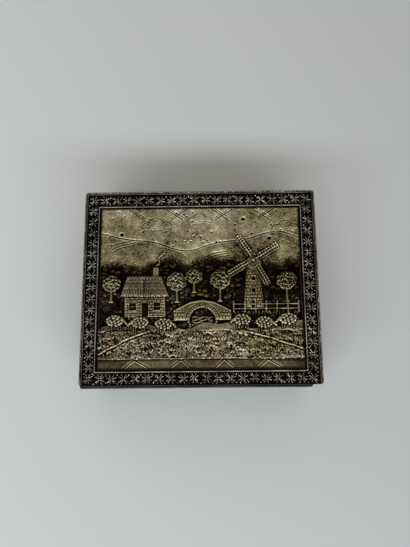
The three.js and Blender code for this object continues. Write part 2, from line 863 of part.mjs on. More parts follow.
function wallBoards() {
  const inWidth = innerWidth / 2;
  const inDepth = innerDepth / 2;
  const name = (side) => `${side}_board`;
  return [
    board('bottom_board', walnut, [-inWidth, -inDepth, baizeThick], [inWidth, inDepth, bottomTop]),
    ...boardsRound(name, inWidth, inDepth, baizeThick, bodyTop, nailHeight, hingeCuts('body')),
  ];
}

function linings() {
  const inWidth = innerWidth / 2;
  const inDepth = innerDepth / 2;
  const clearWidth = inWidth - linerThick;
  const clearDepth = inDepth - linerThick;
  const padTop = bottomTop + floorPadThick;
  return [
    board('liner_front', cedar, [-inWidth, -inDepth, bottomTop], [inWidth, -clearDepth, linerTop]),
    board('liner_back', cedar, [-inWidth, clearDepth, bottomTop], [inWidth, inDepth, linerTop]),
    board('liner_left', cedar, [-inWidth, -clearDepth, bottomTop], [-clearWidth, clearDepth, linerTop]),
    board('liner_right', cedar, [clearWidth, -clearDepth, bottomTop], [inWidth, clearDepth, linerTop]),
    board('floor_pad', velvet, [-clearWidth + fit, -clearDepth + fit, bottomTop],
      [clearWidth - fit, clearDepth - fit, padTop]),
    board('base_baize', baize, [-woodWidth / 2 + baizeInset, -woodDepth / 2 + baizeInset, 0],
      [woodWidth / 2 - baizeInset, woodDepth / 2 - baizeInset, baizeThick]),
  ];
}

function makeBody() {
  const body = new THREE.Group();
  body.add(...wallBoards(), ...linings());
  for (const side of Object.keys(faces)) {
    body.add(sidePlate(side, side === 'back' ? hingeCuts('body') : []));
  }
  body.add(...nails('plate_nail', nailHeight), ...hingePieces('body'));
  for (const [end, at] of [['left', -hingeAt], ['right', hingeAt]]) {
    body.add(part(`hinge_pin_${end}`, pinGeometry(), brass, [at, axisY, jointHeight]));
  }
  return body;
}

// Lid of the box

function lidWood() {
  const halfWidth = woodWidth / 2;
  const halfDepth = woodDepth / 2;
  const openWidth = innerWidth / 2 + fit;
  const openDepth = innerDepth / 2 + fit;
  const name = (side) => `lid_rim_${side}`;
  return [
    board('lid_board', walnut, [-halfWidth, -halfDepth, boardBottom], [halfWidth, halfDepth, boardTop]),
    ...boardsRound(name, openWidth, openDepth, lidBottom, boardBottom, skirtNailHeight, hingeCuts('lid')),
    board('lid_lining', cedar, [-openWidth + fit, -openDepth + fit, boardBottom - liningThick],
      [openWidth - fit, openDepth - fit, boardBottom]),
  ];
}

function makeLid() {
  const lid = new THREE.Group();
  lid.add(...lidWood(), lidFrame(), picturePanel(), fingerLip());
  lid.add(...nails('skirt_nail', skirtNailHeight), ...hingePieces('lid'));
  return lid;
}

const box = new THREE.Group();
box.add(makeBody(), makeLid());

export default box;
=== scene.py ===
"""Dresses a repousse metal box: an embossed, silver-plated keepsake box over cedar-lined wood.

The lid carries a gilded country scene, worked in relief, inside a dark border of chased stars.
Shapes are worked out in millimetres, as height maps and profiles on grids, and placed in metres.
"""

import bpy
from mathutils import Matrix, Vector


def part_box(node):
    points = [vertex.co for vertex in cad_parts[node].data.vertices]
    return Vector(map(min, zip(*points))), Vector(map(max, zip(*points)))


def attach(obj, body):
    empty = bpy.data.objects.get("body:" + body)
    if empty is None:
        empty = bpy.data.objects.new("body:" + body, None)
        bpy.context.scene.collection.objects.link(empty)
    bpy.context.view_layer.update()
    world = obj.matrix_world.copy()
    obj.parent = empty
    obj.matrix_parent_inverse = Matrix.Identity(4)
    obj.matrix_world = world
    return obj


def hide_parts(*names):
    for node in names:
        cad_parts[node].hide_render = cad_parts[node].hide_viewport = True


bl_info = {
    "name": "Repousse Metal Box",
    "version": (1, 0, 0),
    "blender": (4, 5, 0),
    "location": "View3D > Sidebar > Metal Box",
    "description": "Builds the embossed plates, relief picture, fittings and linings of a metal box",
    "category": "Add Mesh",
}

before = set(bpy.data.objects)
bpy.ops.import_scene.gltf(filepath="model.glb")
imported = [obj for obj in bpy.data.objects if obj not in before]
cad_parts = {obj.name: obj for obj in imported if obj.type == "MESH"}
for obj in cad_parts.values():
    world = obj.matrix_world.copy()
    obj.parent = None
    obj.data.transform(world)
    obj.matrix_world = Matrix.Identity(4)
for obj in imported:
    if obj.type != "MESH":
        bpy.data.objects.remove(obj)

import math

import bpy
import numpy as np
from bpy.props import FloatProperty, FloatVectorProperty, PointerProperty
from mathutils import Vector

MM = 0.001


def corners_mm(node):
    """Lowest and highest corner of a node of the frame, in millimetres."""
    low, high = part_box(node)
    return np.array(low) / MM, np.array(high) / MM


BORDER_LOW, BORDER_HIGH = corners_mm("lid_frame")
PLAQUE_LOW, PLAQUE_HIGH = corners_mm("picture_panel")
LID_BOARD_HIGH = corners_mm("lid_board")[1]
LID_TOP = float(BORDER_HIGH[2])
LID_BOTTOM = float(BORDER_LOW[2])
BOARD_TOP = float(LID_BOARD_HIGH[2])
LID_HALF = (BORDER_HIGH[:2] - BORDER_LOW[:2]) / 2
PLAQUE_HALF = (PLAQUE_HIGH[:2] - PLAQUE_LOW[:2]) / 2
PLAQUE_Y = float(PLAQUE_HIGH[1] + PLAQUE_LOW[1]) / 2
SKIN = float(LID_HALF[0] - LID_BOARD_HIGH[0])
SHARP_ANGLE = math.radians(50)


def length(default, name, description):
    """A size in millimetres that a user may change."""
    return FloatProperty(name=name, description=description, default=default, min=0.0)


def colour(default, name, description):
    """A surface colour that a user may change."""
    return FloatVectorProperty(
        name=name, description=description, default=default, size=3, subtype="COLOR", min=0.0, max=1.0
    )


class BoxSizes(bpy.types.PropertyGroup):
    """Sizes of the embossed metal, in millimetres."""

    sheet: length(0.6, "Sheet", "Thickness of the embossed sheet")
    fit: length(0.35, "Fit", "Clearance between the border and the plaque")
    rim: length(1.75, "Rim", "Width of the drawn lines and the gap round the lid's edge")
    rim_rise: length(0.6, "Rim rise", "How far the roll stands above the border's ground")
    groove: length(1.0, "Groove", "Width of the dark groove round the picture")
    bead: length(0.87, "Bead", "Width of the beaded line inside the border")
    bead_rise: length(0.5, "Bead rise", "Height of the beaded line")
    bead_step: length(0.95, "Bead step", "Distance from one bead to the next along the line")
    skirt_bead: length(1.2, "Skirt bead", "Height of the roll along the skirt's lower edge")
    skirt_drop: length(1.6, "Skirt drop", "Depth of the roll's side below the lid's top")
    corner: length(1.4, "Corner", "Radius of the lid's corners, seen from above")
    front_rim: length(0.35, "Front rim", "Width of the roll along the lid's front edge")
    star: length(2.8, "Star", "Reach of a star's strokes from its middle")
    star_rise: length(0.45, "Star rise", "Height of a star's strokes")
    stroke: length(0.2, "Stroke", "Half the width of a star's stroke at its widest")


class BoxColours(bpy.types.PropertyGroup):
    """Colours of the finishes."""

    border_dark: colour((0.0026, 0.0016, 0.0009), "Border hollows", "Oxide in the border's hollows")
    border_middle: colour((0.078, 0.067, 0.055), "Border", "Plate between the hollows and the worn tops")
    border_bright: colour((0.61, 0.56, 0.48), "Border tops", "Plate rubbed bright on the ornament")
    picture_dark: colour((0.0026, 0.0014, 0.0006), "Picture hollows", "Oxide in the picture's hollows")
    picture_middle: colour((0.2, 0.153, 0.092), "Picture", "Worn gilding on the picture's open areas")
    picture_bright: colour((0.635, 0.567, 0.468), "Picture tops", "Gilding rubbed through on raised forms")
    lip: colour((0.075, 0.072, 0.066), "Lip", "Plain strip under the lid's front edge")
    brass: colour((0.58, 0.40, 0.17), "Brass", "Hinges, screws and pins")
    walnut: colour((0.085, 0.042, 0.020), "Walnut", "Boards of the box")
    cedar: colour((0.36, 0.165, 0.075), "Cedar", "Lining boards")
    velvet: colour((0.11, 0.012, 0.018), "Velvet", "Pad on the inside bottom")
    baize: colour((0.015, 0.045, 0.028), "Baize", "Sheet under the box")
    floor: colour((0.553, 0.55, 0.553), "Floor", "Pale floor under the box")


def sizes():
    return bpy.context.scene.metal_box_sizes


def colours():
    return bpy.context.scene.metal_box_colours


# Meshes


def add_piece(name, places, faces, body, material, wear=None):
    """Makes a piece from places in millimetres, lets it ride on a body and gives it its finish.

    Its value runs from 0 in a hollow to 1 on a worn top, with painted highlights and painted shade added on
    some pieces, and the finishes read it.
    """
    mesh = bpy.data.meshes.new(name)
    mesh.from_pydata(np.asarray(places, float).reshape(-1, 3) * MM, [], faces)
    mesh.shade_smooth()
    mesh.set_sharp_from_angle(angle=SHARP_ANGLE)
    if wear is not None:
        mark = mesh.attributes.new("wear", "FLOAT", "POINT")
        mark.data.foreach_set("value", np.asarray(wear, np.float32).ravel())
    piece = bpy.data.objects.new(name, mesh)
    bpy.context.scene.collection.objects.link(piece)
    mesh.materials.append(material)
    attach(piece, body)
    return piece


def grid_faces(rows, columns):
    """Quads of a grid whose columns run along +X and rows along +Y, facing +Z."""
    here = np.arange(rows - 1)[:, None] * columns + np.arange(columns - 1)
    quads = np.stack([here, here + 1, here + columns + 1, here + columns], axis=-1)
    return quads.reshape(-1, 4).tolist()


def rim_order(rows, columns):
    """The grid's edge places, in order round it, counter-clockwise from the low corner."""
    grid = np.arange(rows * columns).reshape(rows, columns)
    return np.concatenate([grid[0, :-1], grid[:-1, -1], grid[-1, :0:-1], grid[:0:-1, 0]])


def closed_below(front, foot, middle):
    """Closes a grid of places: its edge drops straight to a flat foot, which meets in one middle point.

    Gives all places, the faces, and the order of the grid's edge places.
    """
    rows, columns = front.shape[:2]
    places = front.reshape(-1, 3)
    edge = rim_order(rows, columns)
    below_edge = places[edge].copy()
    below_edge[:, 2] = foot
    ring = len(places) + np.arange(len(edge))
    following = np.roll(ring, -1)
    sides = np.stack([ring, following, np.roll(edge, -1), edge], axis=-1).tolist()
    centre = np.full(len(ring), len(places) + len(ring))
    cap = np.stack([centre, following, ring], axis=-1).tolist()
    whole = np.concatenate([places, below_edge, [[*middle, foot]]])
    return whole, grid_faces(rows, columns) + sides + cap, edge


def slab(x, y, front, back, wear, edge_share):
    """A plate whose front is a height map over x and y and whose back is flat, with its wear.

    The edge's foot keeps a share of the wear at the edge.
    """
    grid = np.dstack([*np.meshgrid(x, y), front])
    places, faces, edge = closed_below(grid, back, (x.mean(), y.mean()))
    worn = wear.ravel()
    return places, faces, np.concatenate([worn, edge_share * worn[edge], [0.1]])


def tube_faces(rows, columns, turned_over=False):
    """Faces of a grid whose last row meets its first and whose two ends are closed."""
    grid = np.arange(rows * columns).reshape(rows, columns)
    following = np.roll(grid, -1, axis=0)
    quads = np.stack([grid[:, :-1], following[:, :-1], following[:, 1:], grid[:, 1:]], axis=-1)
    quads = quads.reshape(-1, 4)
    ends = [grid[::-1, 0].tolist(), grid[:, -1].tolist()]
    if turned_over:
        quads = quads[:, [0, 3, 2, 1]]
        ends = [end[::-1] for end in ends]
    return quads.tolist() + ends


def turned(profile, sides):
    """A shape turned round Z from a profile of (radius, height) that starts and ends on the axis."""
    profile = np.asarray(profile, float)
    turn = np.arange(sides) * 2 * np.pi / sides
    radius, height = profile[1:-1, :1], profile[1:-1, 1:]
    rings = np.broadcast_arrays(radius * np.cos(turn), radius * np.sin(turn), height)
    places = np.dstack(rings).reshape(-1, 3)
    poles = [(0, 0, profile[0, 1]), (0, 0, profile[-1, 1])]
    here = np.arange(len(places)).reshape(-1, sides)
    there = np.roll(here, -1, axis=1)
    walls = np.stack([here[:-1], there[:-1], there[1:], here[1:]], axis=-1).reshape(-1, 4)
    low, high = np.full(sides, len(places)), np.full(sides, len(places) + 1)
    caps = np.stack([low, there[0], here[0], high, here[-1], there[-1]], axis=-1).reshape(-1, 3)
    return np.concatenate([places, poles]), walls.tolist() + caps.tolist()


def blurred(heights, spread):
    """Heights smoothed by a bell curve whose spread is in grid steps, with the edges mirrored."""
    margin = int(4 * spread) + 1
    padded = np.pad(heights, margin, mode="reflect")
    rows = np.fft.fftfreq(padded.shape[0])[:, None]
    columns = np.fft.rfftfreq(padded.shape[1])[None, :]
    keep = np.exp(-2 * (np.pi * spread) ** 2 * (rows**2 + columns**2))
    smooth = np.fft.irfft2(np.fft.rfft2(padded) * keep, s=padded.shape)
    return smooth[margin:-margin, margin:-margin]


def smoothstep(value, low, high):
    share = np.clip((value - low) / (high - low), 0, 1)
    return share * share * (3 - 2 * share)


# Relief: forms raised from the back of a sheet and outlined from the front


class Relief:
    """Heights over a flat rectangle with its middle at (0, 0), in millimetres, on an even grid.

    Every form is drawn on places that drift a little, so that its lines run as a hand leads them.
    Tone says how far the open faces are rubbed free of the dark oxide, with a painted sheen added in the sky,
    and matt how rough they are.
    """

    DRIFT = 0.12
    CHASED_WIDTH = 0.28
    FORM_MATT = 0.25

    def __init__(self, half_width, half_depth, pitch, seed):
        self.x = np.linspace(-half_width, half_width, int(round(2 * half_width / pitch)) + 1)
        self.y = np.linspace(-half_depth, half_depth, int(round(2 * half_depth / pitch)) + 1)
        self.pitch = pitch
        self.origin = np.zeros(2)
        self.height = np.zeros((len(self.y), len(self.x)))
        self.random = np.random.default_rng(seed)
        self.drift = [self.DRIFT * (self.grain(5.0) + 0.35 * self.grain(1.3)) for _ in range(2)]
        self.tone = np.ones(self.height.shape)
        self.matt = np.ones(self.height.shape)

    def grain(self, spread):
        """Even random waves about 0 with a deviation of 1, whose size is the spread."""
        waves = blurred(self.random.normal(0, 1, self.height.shape), spread / self.pitch)
        return (waves - waves.mean()) / waves.std()

    def work_at(self, x, y, work, *how):
        """Works a form whose own zero lies at a place of the sheet."""
        self.origin = np.array([x, y])
        work(self, *how)
        self.origin = np.zeros(2)

    def window(self, low, high, margin):
        """The part of the grid round a box: its slices, and its x and y, counted from the origin."""
        low, high = np.asarray(low) - margin + self.origin, np.asarray(high) + margin + self.origin
        left, right = np.searchsorted(self.x, (low[0], high[0]))
        bottom, top = np.searchsorted(self.y, (low[1], high[1]))
        at = (slice(bottom, top), slice(left, right))
        x, y = np.meshgrid(self.x[at[1]] - self.origin[0], self.y[at[0]] - self.origin[1])
        return at, x + self.drift[0][at], y + self.drift[1][at]

    def emboss(self, shape, height, shoulder=0.7, foot=0.0, groove=0.0, crown=0.0, tone=None):
        """Raises a form with round shoulders from its foot, and chases a groove round its outline.

        The rise is a quarter circle over the shoulder's width, and crown adds a slow swell inside it.
        """
        low, high, inside = shape
        at, x, y = self.window(low, high, 1.0)
        if x.size == 0:
            return
        depth = inside(x, y)
        share = np.clip(depth / shoulder, 0, 1)
        rise = np.sqrt(1 - (1 - share) ** 2)
        swell = crown * np.sqrt(np.clip(depth, 0, None) / max(float(depth.max()), 1e-6))
        level = foot + (height - foot - crown) * rise + swell
        chased = self.height[at] - groove * np.exp(-((np.minimum(depth, 0) / self.CHASED_WIDTH) ** 2))
        self.height[at] = np.where(depth > 0, np.maximum(self.height[at], level), chased)
        if tone is not None:
            self.tone[at] = np.where(depth > 0, tone, self.tone[at])
            self.matt[at] = np.where(depth > 0, self.FORM_MATT, self.matt[at])

    def line(self, points, height, half_width):
        """Raises a round ridge along straight runs between points, or cuts one where height is below 0."""
        points = np.asarray(points, float)
        at, x, y = self.window(points.min(0), points.max(0), half_width)
        if x.size == 0:
            return
        away = np.full(x.shape, 1e9)
        for start, end in zip(points[:-1], points[1:]):
            away = np.minimum(away, run_distance(x, y, start, end))
        share = np.clip(1 - (away / half_width) ** 2, 0, 1)
        self.height[at] += height * np.sqrt(share) if height > 0 else height * share

    def chased(self, start, end, out, ridge=0.24, gap=0.45):
        """A drawn line: a thin ridge with a groove along it, on the side that out points to."""
        start, end = np.asarray(start, float), np.asarray(end, float)
        shift = gap * np.asarray(out, float)
        self.line([start, end], ridge, 0.24)
        self.line([start + shift, end + shift], -1.3 * ridge, 0.26)

    def dots(self, places, height, radius):
        """Raises round dots, or punches pits where height is below 0."""
        for place in np.asarray(places, float).reshape(-1, 2):
            at, x, y = self.window(place, place, radius)
            share = np.clip(1 - ((x - place[0]) ** 2 + (y - place[1]) ** 2) / radius**2, 0, 1)
            self.height[at] += height * np.sqrt(share)

    def roughen(self, amount, spread):
        self.height += amount * self.grain(spread) * self.matt

    def strokes(self, places, turns, long, half_width, height):
        """Raises short round strokes, each from its own place along its own direction."""
        for place, turn in zip(places, turns):
            end = place + long * np.array([math.cos(turn), math.sin(turn)])
            self.line([place, end], height, half_width)

    def scatter(self, shape, step):
        """Places spread unevenly inside a shape, about one to each square of the step."""
        low, high, inside = shape
        span = np.asarray(high) - np.asarray(low)
        count = max(1, int(span[0] * span[1] / step**2))
        places = np.asarray(low) + self.random.random((count, 2)) * span
        return places[inside(places[:, 0], places[:, 1]) > 0.15]


def run_distance(x, y, start, end):
    """Distance from each place to a straight run between two points."""
    run = np.asarray(end, float) - np.asarray(start, float)
    share = ((x - start[0]) * run[0] + (y - start[1]) * run[1]) / max(run @ run, 1e-9)
    share = np.clip(share, 0, 1)
    return np.hypot(x - start[0] - share * run[0], y - start[1] - share * run[1])


# Shapes: a box round the form, and how far a place lies inside its outline


def oval(x0, y0, reach_x, reach_y):
    def inside(x, y):
        away = np.hypot((x - x0) / reach_x, (y - y0) / reach_y)
        return (1 - away) * min(reach_x, reach_y)

    return (x0 - reach_x, y0 - reach_y), (x0 + reach_x, y0 + reach_y), inside


def outline(points):
    """A closed shape with straight sides."""
    points = np.asarray(points, float)

    def inside(x, y):
        away = np.full(np.shape(x), 1e9)
        odd = np.zeros(np.shape(x), bool)
        for start, end in zip(points, np.roll(points, -1, axis=0)):
            away = np.minimum(away, run_distance(x, y, start, end))
            crosses = (start[1] > y) != (end[1] > y)
            rise = end[1] - start[1]
            at = start[0] + (y - start[1]) * (end[0] - start[0]) / (rise if rise != 0 else 1e-9)
            odd ^= crosses & (x < at)
        return np.where(odd, away, -away)

    return points.min(0), points.max(0), inside


def rectangle(x0, y0, x1, y1):
    def inside(x, y):
        return np.minimum(np.minimum(x - x0, x1 - x), np.minimum(y - y0, y1 - y))

    return (x0, y0), (x1, y1), inside


def bar(start, end, wide):
    """A straight bar with round ends."""
    start, end = np.asarray(start, float), np.asarray(end, float)

    def inside(x, y):
        return wide / 2 - run_distance(x, y, start, end)

    reach = wide / 2
    return np.minimum(start, end) - reach, np.maximum(start, end) + reach, inside


def below(curve, low, high, half_width):
    def inside(x, y):
        return curve(x) - y

    return (-half_width, low), (half_width, high), inside


# The picture: a mill, a cottage, a bridge and grazing sheep

# Levels of the sheet behind the forms, and the depth of the plain strip at the foot
SKY = 0.85
MIDDLE = 0.14
TURF = 0.9
STRIP = 0.62
STRIP_DEPTH = 4.45
PICTURE_PITCH = 0.2

HALF_X, HALF_Y = PLAQUE_HALF.tolist()
PAST_EDGE = HALF_X + 1
STRIP_TOP = STRIP_DEPTH - HALF_Y

# Places of the forms, as shares of the half width and the half depth
CLOUDS = ((-0.44, 0.76, 0.95), (0.0, 0.83, 0.8), (0.86, 0.72, 0.85))
BIRDS = ((-0.12, 0.56), (-0.03, 0.63), (0.06, 0.55))
PITS = ((-0.79, 0.66), (0.44, 0.86), (0.7, 0.6))
FIELDS = ((-0.92, 13, 0.36, 3), (-0.4, 12, -0.26, 3), (0.04, 12, 0.3, 3), (0.66, 12, -0.28, 3))
TREES = ((-0.88, 0.04, 4.4), (-0.23, 0.06, 4.8), (-0.06, 0.13, 4.0), (0.2, 0.08, 5.0), (0.86, 0.06, 4.8))
SHEEP = (
    (-0.84, -0.42, 1), (-0.6, -0.44, -1), (-0.36, -0.46, 1),
    (0.41, -0.42, -1), (0.63, -0.45, 1), (0.86, -0.41, -1),
)
BANKS = ((-1, (-0.5, -0.55), (-0.985, -0.82)), (1, (0.4, -0.56), (0.975, -0.76)))
ARROWS = ((-0.64, 5.2, 6.9, 3.75), (-0.19, 4.7, 4.5, 3.5), (0.227, 3.6, 4.2, 3.1), (0.65, 4.4, 6.4, 3.5))
CROSSINGS = ((-0.626, (-1,)), (-0.237, (-1, 1)), (0.227, (1, -1)), (0.648, (-1, 1)))


def across(share):
    return share * HALF_X


def up(share):
    return share * HALF_Y


def turf_edge(x):
    return up(-0.48) + 1.2 * np.sin(x * 0.16) + 0.8 * np.sin(x * 0.41 + 1)


def skyline_edge(x):
    return up(0.32) + 1.8 * np.sin(x * 0.09 + 0.6) + 0.9 * np.sin(x * 0.27)


def hill_edge(x):
    return up(0.56) + 3.6 * np.sin(x * 0.075 - 1.1) + 1.0 * np.sin(x * 0.21)


def curve_points(curve, x0, x1, steps):
    x = np.linspace(x0, x1, steps)
    return np.stack([x, curve(x)], axis=1)


def arc_points(x, y, radius, start, end, steps=12):
    turn = np.linspace(start, end, steps)
    return np.stack([x + radius * np.cos(turn), y + radius * np.sin(turn)], axis=1)


def wavy_points(relief, reach, level, swing, pace, steps, shift=0.0):
    """A level line that swings up and down, in step with the sheet's own zero."""
    return curve_points(
        lambda x: level + swing * np.sin(pace * (x + relief.origin[0]) + shift), -reach, reach, steps
    )


def work_ground(relief):
    """The sheet before any form: the sky sinks slowly to a dark middle ground, matted with a punch."""
    x, y = np.meshgrid(relief.x, relief.y)
    edge = skyline_edge(x) + 1.2 * relief.grain(4.5) + 0.5 * relief.grain(1.5)
    sky = smoothstep(y, edge - 4.5, edge + 4.0)
    relief.height += MIDDLE + (SKY - MIDDLE) * sky + 0.06 * relief.grain(1.8) * (1 - sky)
    over = smoothstep(y - hill_edge(x), -0.7, 0.7)
    # The sky over the hill line is lighter, and the bell-shaped rise about the sky's middle is a painted
    # sheen: a reflection painted into the tone.
    relief.tone += over * (0.2 + 0.22 * np.exp(-(((x + 1) / 26) ** 2))) - 0.05 * sky
    relief.tone -= 0.3 * (1 - sky)
    relief.matt -= 0.35 * (1 - sky)
    field = rectangle(-HALF_X, up(-0.6), HALF_X, up(0.35))
    relief.dots(relief.scatter(field, 1.3), 0.06, 0.42)
    for place in relief.scatter(rectangle(-HALF_X, up(-0.5), HALF_X, up(0.3)), 5.0):
        for lobe in place + relief.random.normal(0, 1.0, (4, 2)):
            clump = oval(*lobe, 1.3, 0.9)
            relief.emboss(clump, MIDDLE + 0.24, shoulder=1.1, foot=MIDDLE, groove=0.05, tone=0.7)


def work_sky(relief):
    """Chased hills with ploughed fields, soft clouds, birds, and a few pits in the worn sky."""
    for drop, ridge in ((-0.35, -0.3), (0.25, 0.12)):
        relief.line(curve_points(lambda x: hill_edge(x) - drop, -PAST_EDGE, PAST_EDGE, 70), ridge, 0.3)
    for start, run, lean, rows in FIELDS:
        x0 = across(start)
        y0 = hill_edge(x0) - 1.6 - max(0.0, lean * run)
        furrow = curve_points(lambda x: lean * x + 0.5 * np.sin(0.35 * x), 0, run, 9)
        for k in range(rows):
            relief.line(furrow + (x0 + 0.7 * k, y0 - 1.05 * k), -0.2, 0.25)
    for share_x, share_y, size in CLOUDS:
        relief.work_at(across(share_x), up(share_y), work_cloud, size)
    for share_x, share_y in BIRDS:
        relief.work_at(across(share_x), up(share_y), work_bird)
    relief.dots(relief.scatter(rectangle(-PAST_EDGE, up(0.5), PAST_EDGE, up(0.97)), 7.5), -0.45, 0.52)
    relief.dots([(across(share_x), up(share_y)) for share_x, share_y in PITS], -0.9, 0.95)


def work_cloud(relief, size):
    """A soft cloud: low swells, each edged over its top with drawn curls."""
    for x, y, radius in size * np.array([(-4.6, -0.2, 2.2), (0.0, 0.9, 3.4), (4.8, -0.1, 2.4)]):
        relief.emboss(oval(x, y, 1.1 * radius, 0.85 * radius), SKY + 0.24, shoulder=2.8, foot=SKY)
        relief.line(arc_points(x, y, radius, 0.06 * np.pi, 0.94 * np.pi), 0.16, 0.28)
        relief.line(arc_points(x, y, radius + 0.5, 0.1 * np.pi, 0.9 * np.pi), -0.16, 0.26)
    for drop, reach in ((0.5, 7.2), (1.5, 4.6)):
        relief.line(wavy_points(relief, reach * size, -drop * size, 0.25, 0.9, 18), -0.16, 0.27)


def work_bird(relief):
    for side in (-1, 1):
        relief.line([(side * 1.9, 0.7), (side * 0.9, 1.15), (0, 0)], 0.3, 0.26)
        relief.line([(side * 1.8, 0.2), (side * 0.9, 0.6)], -0.26, 0.24)


def work_turf(relief):
    """Rough turf along the picture's foot: blades, pebbles and pits over a rolling bank."""
    relief.emboss(below(turf_edge, STRIP_TOP - 1, up(-0.4), PAST_EDGE), TURF, shoulder=1.5)

    def within(x, y):
        return np.minimum(turf_edge(x) - y, y - STRIP_TOP)

    bank = (-PAST_EDGE, STRIP_TOP + 0.2), (PAST_EDGE, up(-0.55)), within
    at, x, y = relief.window((-PAST_EDGE, STRIP_TOP), (PAST_EDGE, up(-0.55)), 0)
    here = within(x, y) > 0
    relief.height[at] += (0.16 * relief.grain(2.6) + 0.1 * relief.grain(0.8))[at] * here
    worn = np.clip(0.5 + 0.5 * relief.grain(4.5)[at] + 0.35 * np.abs(x) / HALF_X, 0, 1)
    relief.tone[at] = np.where(here, 0.62 + 0.34 * worn, relief.tone[at])
    steps = np.arange(7)
    for side, start, end in BANKS:
        x = across(start[0] + (end[0] - start[0]) * steps / 6) + 0.5 * np.sin(2.2 * steps + side)
        y = up(start[1] + (end[1] - start[1]) * (steps / 6) ** 1.3) + 0.4 * np.sin(3.1 * steps)
        edge = np.stack([x, y], axis=1)
        relief.line(edge, 0.3, 0.45)
        relief.line(edge - (0.25 * side, 0.8), -0.26, 0.4)
    fan = np.linspace(-1, 1, 7)
    for place in relief.scatter(bank, 3.6):
        roots = place + np.stack([1.5 * fan, relief.random.normal(0, 0.35, len(fan))], axis=1)
        turns = np.pi / 2 - 0.7 * fan + relief.random.normal(0, 0.15, len(fan))
        relief.strokes(roots, turns, 1.5, 0.27, 0.2)
        relief.dots([place - (0, 0.7)], -0.26, 0.7)
    for step, height, radius in ((1.3, 0.17, 0.36), (1.7, -0.2, 0.42), (5.5, 0.45, 0.5)):
        relief.dots(relief.scatter(bank, step), height, radius)
    relief.line(curve_points(lambda x: turf_edge(x) - 0.35, -PAST_EDGE, PAST_EDGE, 80), 0.24, 0.45)


def work_tree(relief, crown):
    """A round tree: a forked trunk under a domed crown of small leaves."""
    low = -crown * 2.2
    trunk = [(-0.5, 0), (-0.8, low + 1.4), (-1.7, low), (1.6, low), (0.7, low + 1.4), (0.5, 0)]
    relief.emboss(outline(trunk), 1.1, shoulder=0.5, groove=0.3, tone=0.62)
    for side in (-1, 1):
        branch = bar((0, -crown * 1.05), (side * 0.42 * crown, -0.55 * crown), 0.7)
        relief.emboss(branch, 1.05, shoulder=0.35, tone=0.62)
        relief.line([(0.2 * side, -crown), (0.45 * side, low + 0.4)], -0.2, 0.2)
    for k in range(8):
        turn = 0.785 * k + 0.3
        x, y = 0.62 * crown * math.cos(turn), 0.56 * crown * math.sin(turn)
        lobe = oval(x, y, 0.46 * crown, 0.42 * crown)
        relief.emboss(lobe, 0.95, shoulder=1.4, foot=0.4, groove=0.2, tone=0.5)
    dome = oval(0, 0.1 * crown, 0.85 * crown, 0.8 * crown)
    relief.emboss(dome, 1.4, shoulder=3.2, foot=0.6, tone=0.56)
    leaves = relief.scatter(oval(0, 0, crown, crown), 0.85)
    leaves = leaves[np.argsort(-leaves[:, 1])]
    relief.dots(leaves, 0.26, 0.5)
    relief.dots(leaves - (0.1, 0.62), -0.16, 0.4)


def work_cottage(relief):
    """A cottage seen from its long side, with combed thatch, a smoking chimney, a door and windows."""
    relief.emboss(rectangle(4, 17, 7, 24), 1.3, shoulder=0.45, groove=0.3, tone=0.7)
    for k in range(5):
        relief.line([(4.2, 19.4 + k), (6.8, 19.4 + k)], -0.2, 0.16)
    relief.line([(3.7, 23.9), (7.3, 23.9)], 0.25, 0.35)
    steps = np.arange(10)
    smoke = np.stack([5.5 + 0.5 * steps + 0.9 * np.sin(1.25 * steps), 25.0 + 1.1 * steps], axis=1)
    relief.line(smoke, 0.2, 0.34)
    relief.line(smoke + (0.75, -0.15), -0.16, 0.26)
    relief.emboss(rectangle(-10, 0, 10, 11), 1.0, shoulder=0.6, groove=0.4, tone=0.72)
    for row in range(8):
        low = 0.8 + row * 1.3
        relief.line([(-9.7, low), (9.7, low)], -0.27, 0.22)
        for k in range(9):
            x = -9.5 + 2.3 * k + 1.15 * (row % 2) + 0.2 * math.sin(7.0 * k + row)
            if abs(x) <= 9.5:
                relief.line([(x, low), (x, low + 1.2)], -0.24, 0.2)
    roof = [(-12, 9.6), (12, 9.6), (8.5, 20), (-8.5, 20)]
    relief.emboss(outline(roof), 1.42, shoulder=1.2, groove=0.4, crown=0.12, tone=0.66)
    for k in range(29):
        share = -1 + k / 14
        bend = 9.8 + 0.12 * math.sin(5.0 * k)
        relief.line([(8.2 * share, 19.4), (bend * share, 14.5), (11.5 * share, 10.0)], 0.3, 0.25)
    for level in (13.2, 16.4):
        relief.line(wavy_points(relief, 10.4, level, 0.3, 2.1, 60), -0.26, 0.26)
    for k in range(12):
        x = -8.4 + 1.53 * k
        relief.line([(x, 19.5), (x + 0.75, 18.3), (x + 1.53, 19.5)], 0.3, 0.26)
    relief.line([(-8.6, 19.9), (8.6, 19.9)], 0.3, 0.45)
    relief.dots([(-11.6 + 1.16 * k, 9.9) for k in range(21)], 0.35, 0.5)
    work_recess(relief, rectangle(-1.6, 0.3, 1.6, 7), 0.25)
    for x in (-0.8, 0, 0.8):
        relief.line([(x, 0.7), (x, 6.6)], 0.16, 0.22)
    for side in (-1, 1):
        x = side * 5.9
        work_recess(relief, rectangle(x - 1.6, 3.5, x + 1.6, 7), 0.15)
        relief.line([(x, 3.6), (x, 6.9)], 0.4, 0.22)
        relief.line([(x - 1.6, 5.25), (x + 1.6, 5.25)], 0.4, 0.22)
        relief.dots([(side * (3.4 + 1.05 * k), -0.2 + 0.5 * (k % 2)) for k in range(7)], 0.45, 0.6)


def work_recess(relief, shape, level):
    """Sinks an opening to a level and frames it with a thin ridge."""
    low, high, inside = shape
    at, x, y = relief.window(low, high, 0.8)
    depth = inside(x, y)
    share = smoothstep(depth, 0.0, 0.3)
    relief.height[at] = relief.height[at] * (1 - share) + level * share
    relief.height[at] += 0.34 * np.exp(-(((depth + 0.22) / 0.22) ** 2))


